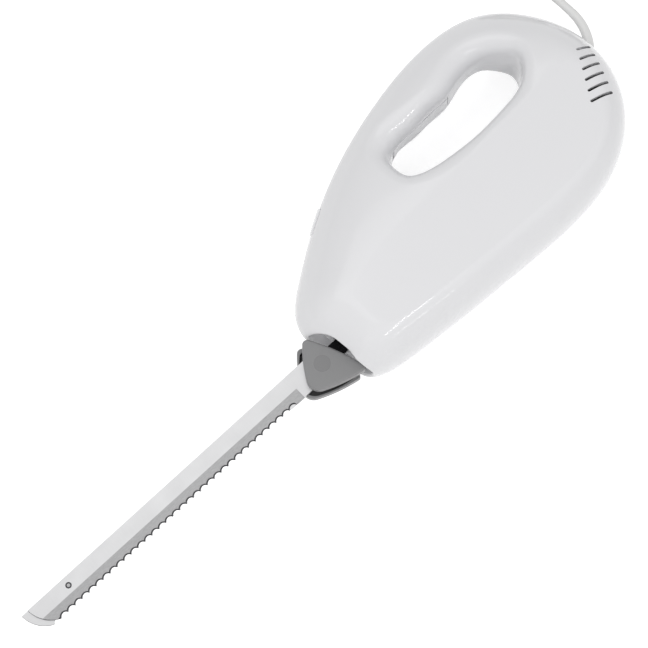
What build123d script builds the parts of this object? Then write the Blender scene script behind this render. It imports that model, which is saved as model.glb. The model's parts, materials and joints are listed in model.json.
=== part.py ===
"""Electric carving knife: two reciprocating blades, a D-handled motor housing, its drive and its cord.

X runs from the blade tips to the rear, Y from the cutting edges up to the grip, and Z to the knife's left.
The knife lies on its right side. The origin is the middle of its box, without the cord.
All lengths are in millimetres.
"""
import math
import os

from build123d import *

# Overall sizes
overall_length = 445.0
body_length = 232.0
body_height = 131.0
body_width = 62.0
overrun = 80.0

# Housing
wall = 2.5
opening_wall = 6.0
opening_rounding = 10.0
cavity_rounding = 7.5
top_fullness = 1.6
bottom_fullness = 2.0
section_count = 11
mouth_depth = 9.5
mouth_width = 34.0
mouth_top_margin = 2.0
mouth_low_reach = 7.0
mouth_edge_rounding = 1.5
rib_thickness = 2.0
running_clearance = 0.3
fit_clearance = 0.1
shaft_clearance = 0.05

# Blades, at the middle of their stroke
blade_seat_height = 44.4
blade_height = 15.5
blade_thickness = 1.2
blade_gap = 0.1
blade_stagger = 4.5
tooth_pitch = 5.0
tooth_count = 33
tooth_depth = 1.5
toe_setback = 10.6
tip_bulge = 2.6
bevel_height = 6.6
bevel_edge_thickness = 0.35
bevel_end_setback = 25.0
root_inset = 0.5
tang_height = 9.0
tang_drop = 3.2
tang_length = 35.0
latch_hole_radius = 1.6
latch_hole_setback = 14.0
rivet_setback = 25.0
rivet_drop = 4.8
rivet_radius = 1.2
rivet_head_radius = 2.3
rivet_head_height = 0.8
keyhole_radius = 2.6

# Guards moulded on the blades
guard_height = 7.2
guard_wall = 2.0
guard_rim_gap = 1.6
guard_corner_radii = (2.8, 1.6, 7.0)
guard_bulge = 1.6
guard_edge_rounding = 1.2
guard_boss_radius = 5.6
guard_boss_height = 0.5
guard_boss_setback = 6.0
guard_boss_drop = 9.4

# Drive
crank_radius = 4.0
gear_module = 1.0
gear_teeth = 32
gear_thickness = 5.0
gear_setback = 62.5
gear_backlash = 0.7
gear_root_depth = 1.25
pressure_angle = 20.0
worm_pitch_radius = 4.5
worm_length = 24.0
worm_turns = 5.5
worm_addendum = 0.8
worm_tooth_width = 1.0
worm_root_width = 1.5
axle_radius = 2.5
axle_length = 44.0
axle_boss_radius = 5.5
eccentric_radius = 7.5
eccentric_height = 5.0
yoke_frame = 3.2
driver_thickness = 3.0
socket_length = 14.0
socket_setback = 24.0
socket_flange = 2.0
clip_thickness = 0.6
clip_width = 5.0
clip_seat = 8.0
lip_height = 5.5

# Motor
motor_axis_height = 30.4
shaft_radius = 2.5
shaft_nose_setback = 43.0
shaft_tail_setback = 171.5
bush_length = 5.0
bush_radius = 5.5
bridge_thickness = 3.0
front_bridge_setback = 90.5
rear_bridge_setback = 164.5
bridge_hub_radius = 7.5
bridge_hub_length = 6.0
core_setback = 117.5
core_length = 22.0
core_height = 46.0
core_width = 44.0
core_corner_radius = 8.0
rotor_radius = 12.5
air_gap = 0.5
rotor_slot_count = 12
rotor_slot_width = 1.6
rotor_slot_depth = 3.0
winding_radius = 11.0
winding_length = 5.0
coil_inner_radius = 14.0
coil_outer_radius = 19.0
coil_end_length = 6.0
pole_half_angle = 48.0
coil_half_angle = 70.0
commutator_radius = 8.0
commutator_length = 11.0
commutator_setback = 147.5
brush_width = 6.0
brush_length = 9.0
brush_holder_length = 15.0
brush_holder_wall = 1.2
fan_setback = 97.5
fan_width = 9.0
fan_radius = 18.0
fan_disc_thickness = 1.5
fan_blade_count = 9
fan_blade_thickness = 1.2
tie_screw_radius = 1.5
tie_screw_inset = 4.5
tie_screw_head_radius = 2.8
tie_screw_head_height = 2.0
capacitor_length = 15.0
capacitor_height = 16.0
capacitor_width = 8.0

# Posts and screws that hold the halves together
post_radius = 4.2
screw_radius = 1.45
screw_head_radius = 2.8
screw_head_height = 2.2
screw_seat_depth = 9.0
screw_reach = 10.0

# Trigger, switch and release button
trigger_length = 40.0
trigger_width = 12.0
trigger_proud = 1.6
trigger_edge_rounding = 1.2
trigger_thickness = 4.0
trigger_pin_radius = 1.5
trigger_pin_length = 20.0
trigger_front_clearance = 0.8
trigger_stop_thickness = 2.0
switch_length = 20.0
switch_height = 9.0
switch_width = 12.0
switch_rib_rise = 1.0
plunger_radius = 1.6
plunger_length = 5.0
button_length = 13.0
button_width = 12.0
button_proud = 0.9
button_height = 5.0
button_travel = 3.0
stem_thickness = 2.6
stem_width = 13.0
spring_strip_thickness = 0.4
spring_strip_width = 4.0

# Vents
vent_count = 6
vent_width = 1.7
vent_depth = 18.0

# Cord
cord_radius = 2.5
coil_spacing = 5.5
coil_turns = 3
coil_start_radius = 35.75
coil_exit_length = 20.0
gap_sample_count = 900
bend_share = 0.45
first_run = 12.4
route_steps = ((-0.6, 25.4), (-0.5, 38.4), (-0.3, 51.4), (-0.1, 64.9), (-0.1, 78.4))
route_drop_shares = (0.18, 0.45, 0.78, 1.0, 1.0)
relief_inside_length = 14.0
relief_bend_radius = 33.0
relief_turn_angle = 43.0
relief_section_count = 6
relief_radius = 2.9
relief_hole_clearance = 0.5
relief_flange_radius = 6.0
relief_flange_thickness = 2.0
relief_flange_setback = 10.0
relief_angle = 48.0
strap_thickness = 0.6
strap_width = 9.0
strap_gap = 0.25
plug_tail_length = 18.0
plug_tail_radius = 3.5
plug_length = 36.0
plug_width = 35.0
plug_thickness = 16.0
plug_neck_width = 14.0
plug_pin_radius = 2.0
plug_pin_length = 19.0
plug_pin_spacing = 18.6

# Places that follow from the sizes
rear_x = overall_length / 2
nose_x = rear_x - body_length
bottom_y = -body_height / 2
half_width = body_width / 2
far = overall_length
floor_z = -half_width
blade_reach = overall_length - body_length - blade_stagger / 2
tip_x = nose_x - blade_reach
root_x = nose_x + root_inset
blade_top = bottom_y + blade_seat_height
edge_y = blade_top - blade_height
tang_top = blade_top - tang_drop
tang_mid = tang_top - tang_height / 2
motor_y = bottom_y + motor_axis_height
gear_x = nose_x + gear_setback
gear_radius = gear_module * gear_teeth / 2
gear_y = motor_y + worm_pitch_radius + gear_radius
socket_x = nose_x + socket_setback
plate_z = gear_thickness / 2 + driver_thickness + running_clearance
plate_top = plate_z + driver_thickness
boss_z = gear_thickness / 2 + eccentric_height + driver_thickness / 2 + 2 * running_clearance
coil_layer_z = floor_z + strap_thickness + strap_gap + cord_radius

# The housing's rim at the parting plane, as shares of its length and height, from the nose's top round
# the grip and the rear to the nose's bottom
rim_shares = (
    (0.001, 0.411), (0.013, 0.484), (0.080, 0.598), (0.203, 0.742), (0.350, 0.869), (0.519, 0.960),
    (0.705, 1.002), (0.847, 0.949), (0.939, 0.792), (0.992, 0.488), (0.947, 0.227), (0.849, 0.075),
    (0.700, 0.005), (0.528, 0.005), (0.312, 0.026), (0.153, 0.049), (0.065, 0.087), (0.027, 0.152),
)
# The edge of the flat side, point for point
side_shares = (
    (0.136, 0.354), (0.144, 0.385), (0.188, 0.411), (0.256, 0.434), (0.377, 0.450), (0.515, 0.461),
    (0.670, 0.476), (0.817, 0.499), (0.877, 0.499), (0.903, 0.423), (0.881, 0.278), (0.808, 0.156),
    (0.688, 0.110), (0.528, 0.110), (0.334, 0.129), (0.205, 0.152), (0.149, 0.186), (0.136, 0.240),
)
# The hand opening
opening_shares = (
    (0.430, 0.660), (0.459, 0.566), (0.532, 0.531), (0.619, 0.520), (0.713, 0.532), (0.790, 0.572),
    (0.815, 0.635), (0.785, 0.750), (0.727, 0.785), (0.636, 0.747), (0.541, 0.741), (0.463, 0.738),
)
# The guard's corners behind the blade's root and above its top edge, in blade heights
guard_corner_shares = ((-0.27, 0.55), (0.70, -1.80), (-1.40, -1.09))
# The screw posts
post_shares = ((0.160, 0.105), (0.302, 0.716), (0.365, 0.085), (0.850, 0.800), (0.860, 0.190))
# The vents' front and rear ends, first and last slot
vent_front_shares = ((0.857, 0.288), (0.926, 0.496))
vent_rear_shares = ((0.916, 0.261), (0.966, 0.479))
relief_shares = (0.987, 0.508)
button_share = 0.209
trigger_shares = (0.632, 0.766)
switch_shares = (0.525, 0.835)
capacitor_shares = (0.775, 0.240)


def place(shares):
    """A point of the parting plane from shares of the housing's length and height."""
    return (nose_x + shares[0] * body_length, bottom_y + shares[1] * body_height)


def box(x0, x1, y0, y1, z0, z1):
    """A block between two corners."""
    block = Box(x1 - x0, y1 - y0, z1 - z0)
    return Pos((x0 + x1) / 2, (y0 + y1) / 2, (z0 + z1) / 2) * block


def rod(x, y, z0, z1, radius):
    """A round bar along Z."""
    return Pos(x, y, (z0 + z1) / 2) * Cylinder(radius, z1 - z0)


def bar(x0, x1, y, z, radius):
    """A round bar along X."""
    return Pos((x0 + x1) / 2, y, z) * Rot(0, 90, 0) * Cylinder(radius, x1 - x0)


def mirrored(solid):
    """The same piece on the other side of the parting plane."""
    return mirror(solid, about=Plane.XY)


def moved_right(points, distance):
    """The points of a ring moved to the right of the way round, square to their neighbours' line."""
    moved = []
    for index, point in enumerate(points):
        before = points[index - 1]
        after = points[(index + 1) % len(points)]
        along = Vector(after[0] - before[0], after[1] - before[1]).normalized()
        moved.append((point[0] + along.Y * distance, point[1] - along.X * distance))
    return moved


def body_section(height_share, inset):
    """The housing's outline at a share of its half width, drawn in by a wall."""
    ring = []
    for rim, side in zip(rim_shares, side_shares):
        fullness = bottom_fullness + (top_fullness - bottom_fullness) * rim[1]
        inward = 1 - (1 - abs(height_share) ** fullness) ** (1 / fullness)
        rim_x, rim_y = place(rim)
        side_x, side_y = place(side)
        ring.append((rim_x + (side_x - rim_x) * inward, rim_y + (side_y - rim_y) * inward))
    ring = moved_right(ring, inset)
    z = height_share * (half_width - inset)
    points = [(x, y, z) for x, y in ring]
    return make_face([Spline(*points), Line(points[-1], points[0])])


def body_form(inset):
    """The housing's rounded form, lofted from side to side."""
    step = math.pi / (section_count - 1)
    angles = [index * step - math.pi / 2 for index in range(section_count)]
    return loft([body_section(math.sin(angle), inset) for angle in angles])


def opening_form(growth):
    """The hand opening as a prism, grown by a wall."""
    ring = moved_right([place(share) for share in opening_shares], growth)
    return extrude(make_face(Spline(*ring, periodic=True)), amount=overrun, both=True)


def nose_plane():
    """The plane of the nose's front, facing into the housing."""
    top_x, top_y = place(rim_shares[0])
    low_x, low_y = place(rim_shares[-1])
    middle = ((top_x + low_x) / 2, (top_y + low_y) / 2, 0)
    down = Vector(low_x - top_x, low_y - top_y, 0).normalized()
    inward = Vector(-down.Y, down.X, 0)
    return Plane(origin=middle, x_dir=down, z_dir=inward)


def nose_length():
    """The length of the nose's front along the parting plane."""
    top_x, top_y = place(rim_shares[0])
    low_x, low_y = place(rim_shares[-1])
    return math.hypot(low_x - top_x, low_y - top_y)


def mouth_form():
    """The recess in the nose that the guards work in, open at the nose's lower corner."""
    height = nose_length() - mouth_top_margin + mouth_low_reach
    lower = Pos((mouth_top_margin + mouth_low_reach) / 2, 0)
    sketch = nose_plane() * lower * SlotOverall(height, mouth_width)
    return extrude(sketch, amount=mouth_depth) + extrude(sketch, amount=-overrun)


def on_right(solid):
    """The part of a solid on the right of the parting plane."""
    return solid & box(-far, far, -far, far, -overrun, 0)


def on_left(solid):
    """The part of a solid on the left of the parting plane."""
    return solid & box(-far, far, -far, far, 0, overrun)


def holed_form(inset, growth, rounding):
    """The housing's form with the hand opening through it, rounded where the opening meets the sides."""
    body = body_form(inset) - opening_form(growth)
    rims = []
    for edge in body.edges():
        frame = edge.bounding_box()
        behind_front = frame.min.X > place(opening_shares[0])[0] - growth - wall
        over_side = frame.min.Y > place(side_shares[5])[1] - growth - wall
        if behind_front and over_side and frame.min.Z * frame.max.Z > 0 and edge.is_closed:
            rims.append(edge)
    return fillet(rims, rounding)


def rounded_body():
    """The outer form with its hand opening and its mouth."""
    body = holed_form(0, 0, opening_rounding) - mouth_form()
    lip_end = nose_x + mouth_depth + wall
    lip = [edge for edge in body.edges().filter_by(GeomType.BSPLINE) if edge.bounding_box().max.X < lip_end]
    return fillet(lip, mouth_edge_rounding)


def bridge_outline(growth):
    """The motor frame's rounded square, across the shaft."""
    return RectangleRounded(core_height + 2 * growth, core_width + 2 * growth, core_corner_radius)


def across(x, sketch, length):
    """A sketch drawn across the motor's shaft and drawn out along it."""
    plane = Plane(origin=(x, motor_y, 0), x_dir=(0, 1, 0), z_dir=(1, 0, 0))
    return extrude(plane * sketch, amount=length)


def relief_plane():
    """The plane square to the strain relief where it passes the rear wall."""
    x, y = place(relief_shares)
    angle = math.radians(relief_angle)
    return Plane(origin=(x, y, 0), x_dir=(0, 0, 1), z_dir=(math.cos(angle), math.sin(angle), 0))


def vent_slots():
    """The curved row of slots at the rear, through both side walls."""
    slots = []
    for index in range(vent_count):
        share = index / (vent_count - 1)
        ends = []
        for first, last in (vent_front_shares, vent_rear_shares):
            mix = (first[0] + (last[0] - first[0]) * share, first[1] + (last[1] - first[1]) * share)
            ends.append(Vector(*place(mix)))
        run = ends[1] - ends[0]
        middle = (ends[0] + ends[1]) / 2
        sketch = Pos(middle.X, middle.Y) * Rot(0, 0, math.degrees(math.atan2(run.Y, run.X)))
        sketch = sketch * SlotOverall(run.length, vent_width)
        left = Pos(0, 0, half_width - vent_depth) * extrude(sketch, amount=2 * vent_depth)
        slots += [left, mirrored(left)]
    return slots


def button_hole(clearance, low, high):
    """The release button's prism, from one height to another."""
    x = nose_x + button_share * body_length
    half_length = button_length / 2 + clearance
    half_across = button_width / 2 + clearance
    return box(x - half_length, x + half_length, low, high, -half_across, half_across)


def button_surface_y():
    """The height of the housing's rim over the button."""
    return place(rim_shares[3])[1]


def trigger_hole(clearance, front_clearance, low, high):
    """The trigger's prism through the grip's underside."""
    pivot_x = place(trigger_shares)[0]
    half_across = trigger_width / 2 + clearance
    front = pivot_x - trigger_length - front_clearance
    return box(front, pivot_x + trigger_thickness + clearance, low, high, -half_across, half_across)


def housing_ribs(cavity):
    """The ribs and bosses inside the left half: motor saddles, slide rails and axle boss."""
    inner = half_width
    ribs = []
    for setback in (front_bridge_setback, rear_bridge_setback):
        x = nose_x + setback
        saddle = box(x, x + bridge_thickness, bottom_y, motor_y + core_height / 2 + wall, 0, inner)
        ribs.append(saddle - across(x - overrun, bridge_outline(fit_clearance), 2 * overrun))
    x = nose_x + shaft_nose_setback
    tip_half = bush_radius + wall - running_clearance
    tip_post = box(x, x + bush_length, bottom_y, motor_y + wall, 0, tip_half)
    ribs.append(tip_post - bar(x - overrun, x + overrun, motor_y, 0, bush_radius + fit_clearance / 2))
    low = tang_mid - tang_height / 2 - socket_flange - running_clearance
    high = tang_mid + tang_height / 2 + socket_flange + running_clearance
    rail_start = socket_x + crank_radius
    rail_end = rail_start + socket_length - crank_radius
    ribs.append(box(rail_start, rail_end, low - rib_thickness, low, driver_thickness, inner))
    ribs.append(box(rail_start, rail_end, high, high + rib_thickness, driver_thickness, inner))
    ribs.append(box(rail_start, rail_end, low, high, plate_top + running_clearance, inner))
    ribs.append(rod(gear_x, gear_y, boss_z, inner, axle_boss_radius))
    return [rib & cavity for rib in ribs]


def grip_ribs(cavity):
    """The walls inside that hold the switch, the release spring and the strain relief."""
    inner = half_width
    x, y = place(switch_shares)
    half_length = switch_length / 2 + fit_clearance
    ribs = []
    low = y - switch_height / 2 + switch_rib_rise
    for start in (x - half_length - rib_thickness, x + half_length):
        ribs.append(box(start, start + rib_thickness, low, bottom_y + body_height, 0, inner))
    shelf_x = release_spring_x()
    shelf_y = release_spring_foot_y()
    shelf_end = shelf_x + 2 * spring_strip_width
    ribs.append(box(shelf_x, shelf_end, shelf_y - rib_thickness, shelf_y, button_width / 6, inner))
    ribs.append(relief_rib() - cord_entry())
    return [rib & cavity for rib in ribs]


def relief_rib():
    """The rib in front of the strain relief's flange, which keeps it from being pulled out."""
    face = relief_flange_setback - fit_clearance
    middle = rib_thickness / 2 - face
    height = 3 * relief_flange_radius
    return relief_plane() * Pos(half_width / 2, 0, middle) * Box(half_width, height, rib_thickness)


def posts():
    """The places of the screw posts."""
    return [place(share) for share in post_shares]


def capacitor():
    """The suppression capacitor's block behind the motor."""
    x, y = place(capacitor_shares)
    up = capacitor_height / 2
    aside = capacitor_width / 2
    return box(x, x + capacitor_length, y - up, y + up, -aside, aside)


def left_interior(cavity):
    """Everything moulded inside the left half."""
    pieces = housing_ribs(cavity) + grip_ribs(cavity)
    for x, y in posts():
        pieces.append(rod(x, y, 0, half_width, post_radius) & cavity)
    x, y = place(capacitor_shares)
    top = y - capacitor_height / 2 - fit_clearance
    shelf = box(x, x + capacitor_length, bottom_y, top, 0, capacitor_width / 2 + wall)
    pieces.append(shelf & cavity)
    return pieces


def cord_entry():
    """The round way for the strain relief."""
    return relief_plane() * Cylinder(relief_radius + relief_hole_clearance, 2 * relief_inside_length)


def housing_halves():
    """The two moulded shells, screwed together at the middle."""
    outer = rounded_body()
    size = 2 * overrun
    front = nose_plane() * Pos(0, 0, mouth_depth + wall - overrun) * Box(size, size, size)
    cavity = holed_form(wall, opening_wall, cavity_rounding) - front
    shell = outer - cavity
    tang_slot_top = tang_top + running_clearance + rib_thickness
    tang_slot_low = tang_top - tang_height - running_clearance - rib_thickness
    slot = box(nose_x, socket_x, tang_slot_low, tang_slot_top, -guard_rim_gap * 2, guard_rim_gap * 2)
    button_cut = button_hole(running_clearance, button_surface_y() - 4 * wall, button_surface_y() + overrun)
    trigger_y = place(trigger_shares)[1]
    high = trigger_y + trigger_thickness + wall
    trigger_cut = trigger_hole(running_clearance, trigger_front_clearance, trigger_y - 4 * wall, high)
    shell = shell - slot - button_cut - trigger_cut - vent_slots() - cord_entry()
    interior = left_interior(on_left(cavity))
    left = on_left(shell) + interior
    right = on_right(shell) + [mirrored(piece) for piece in interior]
    seat = screw_seat_depth
    for x, y in posts():
        left -= rod(x, y, 0, screw_reach + wall, screw_radius + shaft_clearance)
        right -= rod(x, y, -seat - overrun, 0, screw_radius + fit_clearance)
        right -= rod(x, y, -overrun, -seat, screw_head_radius + running_clearance)
    axle_hole = rod(gear_x, gear_y, -axle_length / 2, axle_length / 2, axle_radius + shaft_clearance)
    pin_x, pin_y = place(trigger_shares)
    pin_half = trigger_pin_length / 2
    pin_hole = rod(pin_x, pin_y, -pin_half, pin_half, trigger_pin_radius + shaft_clearance)
    return left - axle_hole - pin_hole, right - axle_hole - pin_hole


def housing_screws():
    """The screws that join the halves, put in from the right."""
    screws = []
    for x, y in posts():
        shank = rod(x, y, -screw_seat_depth, screw_reach, screw_radius)
        head = rod(x, y, -screw_seat_depth - screw_head_height, -screw_seat_depth, screw_head_radius)
        screws.append(shank + head)
    return Compound(children=screws)


def blade_outline(shift):
    """One blade with its scalloped edge and its tang."""
    x0 = tip_x + shift
    toe_x = x0 + toe_setback
    end_x = toe_x + (tooth_count - 1) * tooth_pitch
    root = root_x + shift
    tang_end = root + tang_length
    tip_middle = ((x0 + toe_x) / 2 - tip_bulge / 2, (blade_top + edge_y) / 2 - tip_bulge)
    edges = [ThreePointArc((x0, blade_top), tip_middle, (toe_x, edge_y))]
    for index in range(tooth_count - 1):
        start = toe_x + index * tooth_pitch
        gullet = (start + tooth_pitch / 2, edge_y + tooth_depth)
        edges.append(ThreePointArc((start, edge_y), gullet, (start + tooth_pitch, edge_y)))
    tang_low = tang_top - tang_height
    corners = [
        (end_x, edge_y), (root, edge_y), (root, tang_low), (tang_end, tang_low), (tang_end, tang_top),
        (root, tang_top), (root, blade_top), (x0, blade_top),
    ]
    edges += Polyline(*corners).edges()
    return make_face(edges)


def blade(shift):
    """A ground blade on the left of the middle plane."""
    start = blade_gap / 2
    outer_z = start + blade_thickness
    plate = Pos(0, 0, start) * extrude(blade_outline(shift), amount=blade_thickness)
    bevel_end = root_x + shift - bevel_end_setback
    grind = blade_thickness - bevel_edge_thickness
    wedge = Polyline(
        (0, edge_y + bevel_height, outer_z), (0, edge_y - bevel_height, outer_z),
        (0, edge_y - bevel_height, outer_z - 2 * grind), (0, edge_y + bevel_height, outer_z), close=True,
    )
    cutter = extrude(make_face(wedge), amount=bevel_end - tip_x + overrun, dir=(-1, 0, 0))
    plate -= Pos(bevel_end, 0, 0) * cutter
    hole_x = root_x + shift + tang_length - latch_hole_setback
    return plate - rod(hole_x, tang_mid, 0, outer_z + wall, latch_hole_radius)


def blade_left_piece():
    """The left blade, with the hole that its rivet is set in."""
    x = tip_x + blade_stagger / 2 + rivet_setback
    hole = rod(x, blade_top - rivet_drop, 0, blade_thickness + blade_gap, rivet_radius)
    return blade(blade_stagger / 2) - hole


def blade_right_piece():
    """The right blade, with the keyhole slot that the rivet slides in."""
    x = tip_x - blade_stagger / 2 + rivet_setback
    y = blade_top - rivet_drop
    half = 2 * crank_radius + rivet_radius + running_clearance
    slot = Pos(x, y, 0) * SlotOverall(2 * half, 2 * (rivet_radius + fit_clearance))
    keyhole = Pos(x - half - keyhole_radius / 2, y, 0) * Circle(keyhole_radius)
    cutter = extrude(slot + keyhole, amount=2 * blade_thickness, both=True)
    return mirrored(blade(-blade_stagger / 2)) - cutter


def rivet():
    """The headed rivet that keeps the blade tips together."""
    x = tip_x + blade_stagger / 2 + rivet_setback
    y = blade_top - rivet_drop
    inner = blade_gap / 2 + blade_thickness
    shank = rod(x, y, -inner - fit_clearance, inner, rivet_radius)
    head_top = -inner - fit_clearance
    return shank + rod(x, y, head_top - rivet_head_height, head_top, rivet_head_radius)


def guard_corners(shift, inset):
    """The guard's three corners, drawn in towards the middle by an even wall."""
    corners = []
    for along, up in guard_corner_shares:
        corners.append(Vector(root_x + shift + along * blade_height, blade_top + up * blade_height))
    sides = [(corners[index - 1] - corners[index - 2]).length for index in range(3)]
    around = sum(sides)
    centre = (corners[0] * sides[0] + corners[1] * sides[1] + corners[2] * sides[2]) / around
    first = corners[1] - corners[0]
    second = corners[2] - corners[0]
    inner_radius = abs(first.X * second.Y - first.Y * second.X) / around
    shrink = (inner_radius - inset) / inner_radius
    return [centre + (corner - centre) * shrink for corner in corners]


def guard_sketch(shift, inset):
    """The guard's rounded triangle with gently bowed sides."""
    corners = guard_corners(shift, inset)
    centre = (corners[0] + corners[1] + corners[2]) / 3
    edges = []
    for start, end in zip(corners, corners[1:] + corners[:1]):
        outward = ((start + end) / 2 - centre).normalized()
        edges.append(ThreePointArc(start, (start + end) / 2 + outward * guard_bulge, end))
    face = make_face(edges)
    for corner, radius in zip(corners, guard_corner_radii):
        nearest = face.vertices().sort_by_distance(corner)[0]
        face = fillet(nearest, radius - inset / 2)
    return face


def guard(shift):
    """A moulded guard on the left blade: a shallow cap with a round boss."""
    low = guard_rim_gap
    face_z = blade_gap / 2 + blade_thickness
    cap = Pos(0, 0, low) * extrude(guard_sketch(shift, 0), amount=guard_height - low)
    cap = fillet(cap.faces().sort_by(Axis.Z)[-1].edges(), guard_edge_rounding)
    hollow = extrude(guard_sketch(shift, guard_wall), amount=guard_height - guard_wall)
    x = root_x + shift - guard_boss_setback
    y = blade_top - guard_boss_drop
    boss = rod(x, y, face_z, guard_height + guard_boss_height, guard_boss_radius)
    return cap - hollow + boss


def driver(shift):
    """A sliding driver: a socket for the tang, an arm, and a yoke round the eccentric."""
    window_x = 2 * crank_radius + eccentric_radius + running_clearance
    window_y = crank_radius + eccentric_radius + running_clearance
    x = gear_x + shift
    outer = RectangleRounded(2 * (window_x + yoke_frame), 2 * (window_y + yoke_frame), 2 * yoke_frame)
    window = RectangleRounded(2 * window_x, 2 * window_y, yoke_frame)
    low = tang_mid - tang_height / 2 - socket_flange
    high = tang_mid + tang_height / 2 + socket_flange
    over_post = motor_y + wall + running_clearance
    start = socket_x + shift
    arm_end = x - window_x + yoke_frame
    arm = Pos((start + arm_end) / 2, (over_post + high) / 2) * Rectangle(arm_end - start, high - over_post)
    outline = Pos(x, gear_y) * outer + arm - Pos(x, gear_y) * window
    plate = Pos(0, 0, plate_z) * extrude(outline, amount=driver_thickness)
    block = box(start, start + socket_length, low, high, running_clearance, plate_top)
    floor = blade_gap / 2 + blade_thickness + fit_clearance
    channel = box(
        start - overrun, start + socket_length - socket_flange, tang_top - tang_height - fit_clearance,
        tang_top + fit_clearance, 0, floor,
    )
    clip_slot = box(
        start - overrun, start + clip_seat, tang_mid - clip_width / 2 - fit_clearance,
        tang_mid + clip_width / 2 + fit_clearance, 0, floor + clip_thickness + fit_clearance,
    )
    return plate + block - channel - clip_slot


def clip(shift):
    """The leaf clip that latches the tang, with the lip that the release button spreads."""
    inner = blade_gap / 2 + blade_thickness + fit_clearance
    start = socket_x + shift
    hook_x = root_x + shift + tang_length - latch_hole_setback
    half = clip_width / 2
    outer = inner + clip_thickness
    strip = box(hook_x - half, start + clip_seat, tang_mid - half, tang_mid + half, inner, outer)
    lip = box(hook_x - half, hook_x + half, tang_mid, blade_top + lip_height, inner, outer)
    hook = rod(hook_x, tang_mid, blade_gap, inner, latch_hole_radius - fit_clearance)
    return strip + lip + hook


def gear_outline():
    """The drive gear's teeth and bore."""
    pitch_angle = 2 * math.pi / gear_teeth
    tip_radius = gear_radius + gear_module
    root_radius = gear_radius - gear_root_depth * gear_module
    half_pitch_angle = (math.pi * gear_module / 2 - gear_backlash) / 2 / gear_radius
    lean = math.tan(math.radians(pressure_angle)) * gear_module / gear_radius
    points = []
    for index in range(gear_teeth):
        middle = index * pitch_angle - math.pi / 2
        profile = (
            (root_radius, -half_pitch_angle - lean), (tip_radius, -half_pitch_angle + lean),
            (tip_radius, half_pitch_angle - lean), (root_radius, half_pitch_angle + lean),
        )
        for radius, turn in profile:
            angle = middle + turn
            points.append((gear_x + radius * math.cos(angle), gear_y + radius * math.sin(angle)))
    return make_face(Polyline(*points, close=True))


def crank_point(side):
    """The centre of one side's eccentric at rest."""
    along = blade_stagger / 2
    up = math.sqrt(crank_radius ** 2 - along ** 2)
    return gear_x + side * along, gear_y + side * up


def drive_gear():
    """The moulded worm wheel with its lightening web."""
    wheel = Pos(0, 0, -gear_thickness / 2) * extrude(gear_outline(), amount=gear_thickness)
    return wheel - rod(gear_x, gear_y, -gear_thickness, gear_thickness, axle_radius + shaft_clearance)


def eccentric(side):
    """The eccentric on one face of the gear."""
    x, y = crank_point(side)
    start = gear_thickness / 2
    disc = rod(x, y, start, boss_z - running_clearance, eccentric_radius)
    disc -= rod(gear_x, gear_y, 0, overrun, axle_radius + shaft_clearance)
    return disc if side > 0 else mirrored(disc)


def worm():
    """The single-start worm, its thread parted from the gear's lowest tooth by half a turn."""
    root = worm_pitch_radius - gear_root_depth * gear_module
    reach = worm_addendum + gear_root_depth * gear_module
    lead = math.pi * gear_module
    turns_length = worm_turns * lead
    path = Helix(lead, turns_length, root)
    half_root = worm_root_width / 2
    half_tip = worm_tooth_width / 2 - fit_clearance
    sunk = -fit_clearance
    tooth = Plane(origin=path @ 0, z_dir=path % 0, x_dir=(1, 0, 0)) * Polyline(
        (sunk, -half_root), (reach, -half_tip), (reach, half_tip), (sunk, half_root), close=True,
    )
    thread = sweep(make_face(tooth), path, is_frenet=True)
    middle = Pos(0, 0, turns_length / 2)
    core = middle * Cylinder(root, worm_length) - middle * Cylinder(shaft_radius, worm_length)
    return Pos(gear_x - turns_length / 2, motor_y, 0) * Rot(0, 90, 0) * (core + thread)


def motor_shaft():
    """The steel shaft through the worm, the fan and the rotor."""
    return bar(nose_x + shaft_nose_setback, nose_x + shaft_tail_setback, motor_y, 0, shaft_radius)


def bush(x):
    """A sintered bearing bush on the shaft."""
    outer = bar(x, x + bush_length, motor_y, 0, bush_radius)
    return outer - bar(x, x + bush_length, motor_y, 0, shaft_radius + shaft_clearance)


def front_bush_x():
    """Where the front bush starts."""
    return nose_x + front_bridge_setback + bridge_thickness - bush_length


def rear_bush_x():
    """Where the rear bush starts."""
    return nose_x + rear_bridge_setback


def tie_screw_places():
    """The corners of the motor frame that its long screws run through."""
    up = core_height / 2 - tie_screw_inset
    aside = core_width / 2 - tie_screw_inset
    return ((motor_y + up, aside), (motor_y - up, -aside))


def bridge(x, hub_side):
    """A bearing bridge with its hub, windows for the air and its screw holes."""
    plate = across(x, bridge_outline(0), bridge_thickness)
    middle = x + bridge_thickness / 2
    reach = hub_side * (bridge_hub_length - bridge_thickness / 2)
    hub = bar(min(middle, middle + reach), max(middle, middle + reach), motor_y, 0, bridge_hub_radius)
    solid = plate + hub
    window_radius = (core_width / 2 - bridge_hub_radius) / 3
    ring_radius = bridge_hub_radius + wall + window_radius
    for index in range(4):
        angle = index * math.pi / 2
        y = motor_y + ring_radius * math.cos(angle)
        solid -= bar(x - wall, x + bridge_thickness + wall, y, ring_radius * math.sin(angle), window_radius)
    solid -= bar(x - overrun, x + overrun, motor_y, 0, bush_radius)
    for y, z in tie_screw_places():
        solid -= bar(x - wall, x + bridge_thickness + wall, y, z, tie_screw_radius)
    return solid


def tie_screws():
    """The two long screws that clamp the bridges to the stator."""
    start = nose_x + front_bridge_setback
    end = nose_x + rear_bridge_setback + bridge_thickness
    screws = []
    for y, z in tie_screw_places():
        shank = bar(start, end, y, z, tie_screw_radius)
        screws.append(shank + bar(end, end + tie_screw_head_height, y, z, tie_screw_head_radius))
    return Compound(children=screws)


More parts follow.
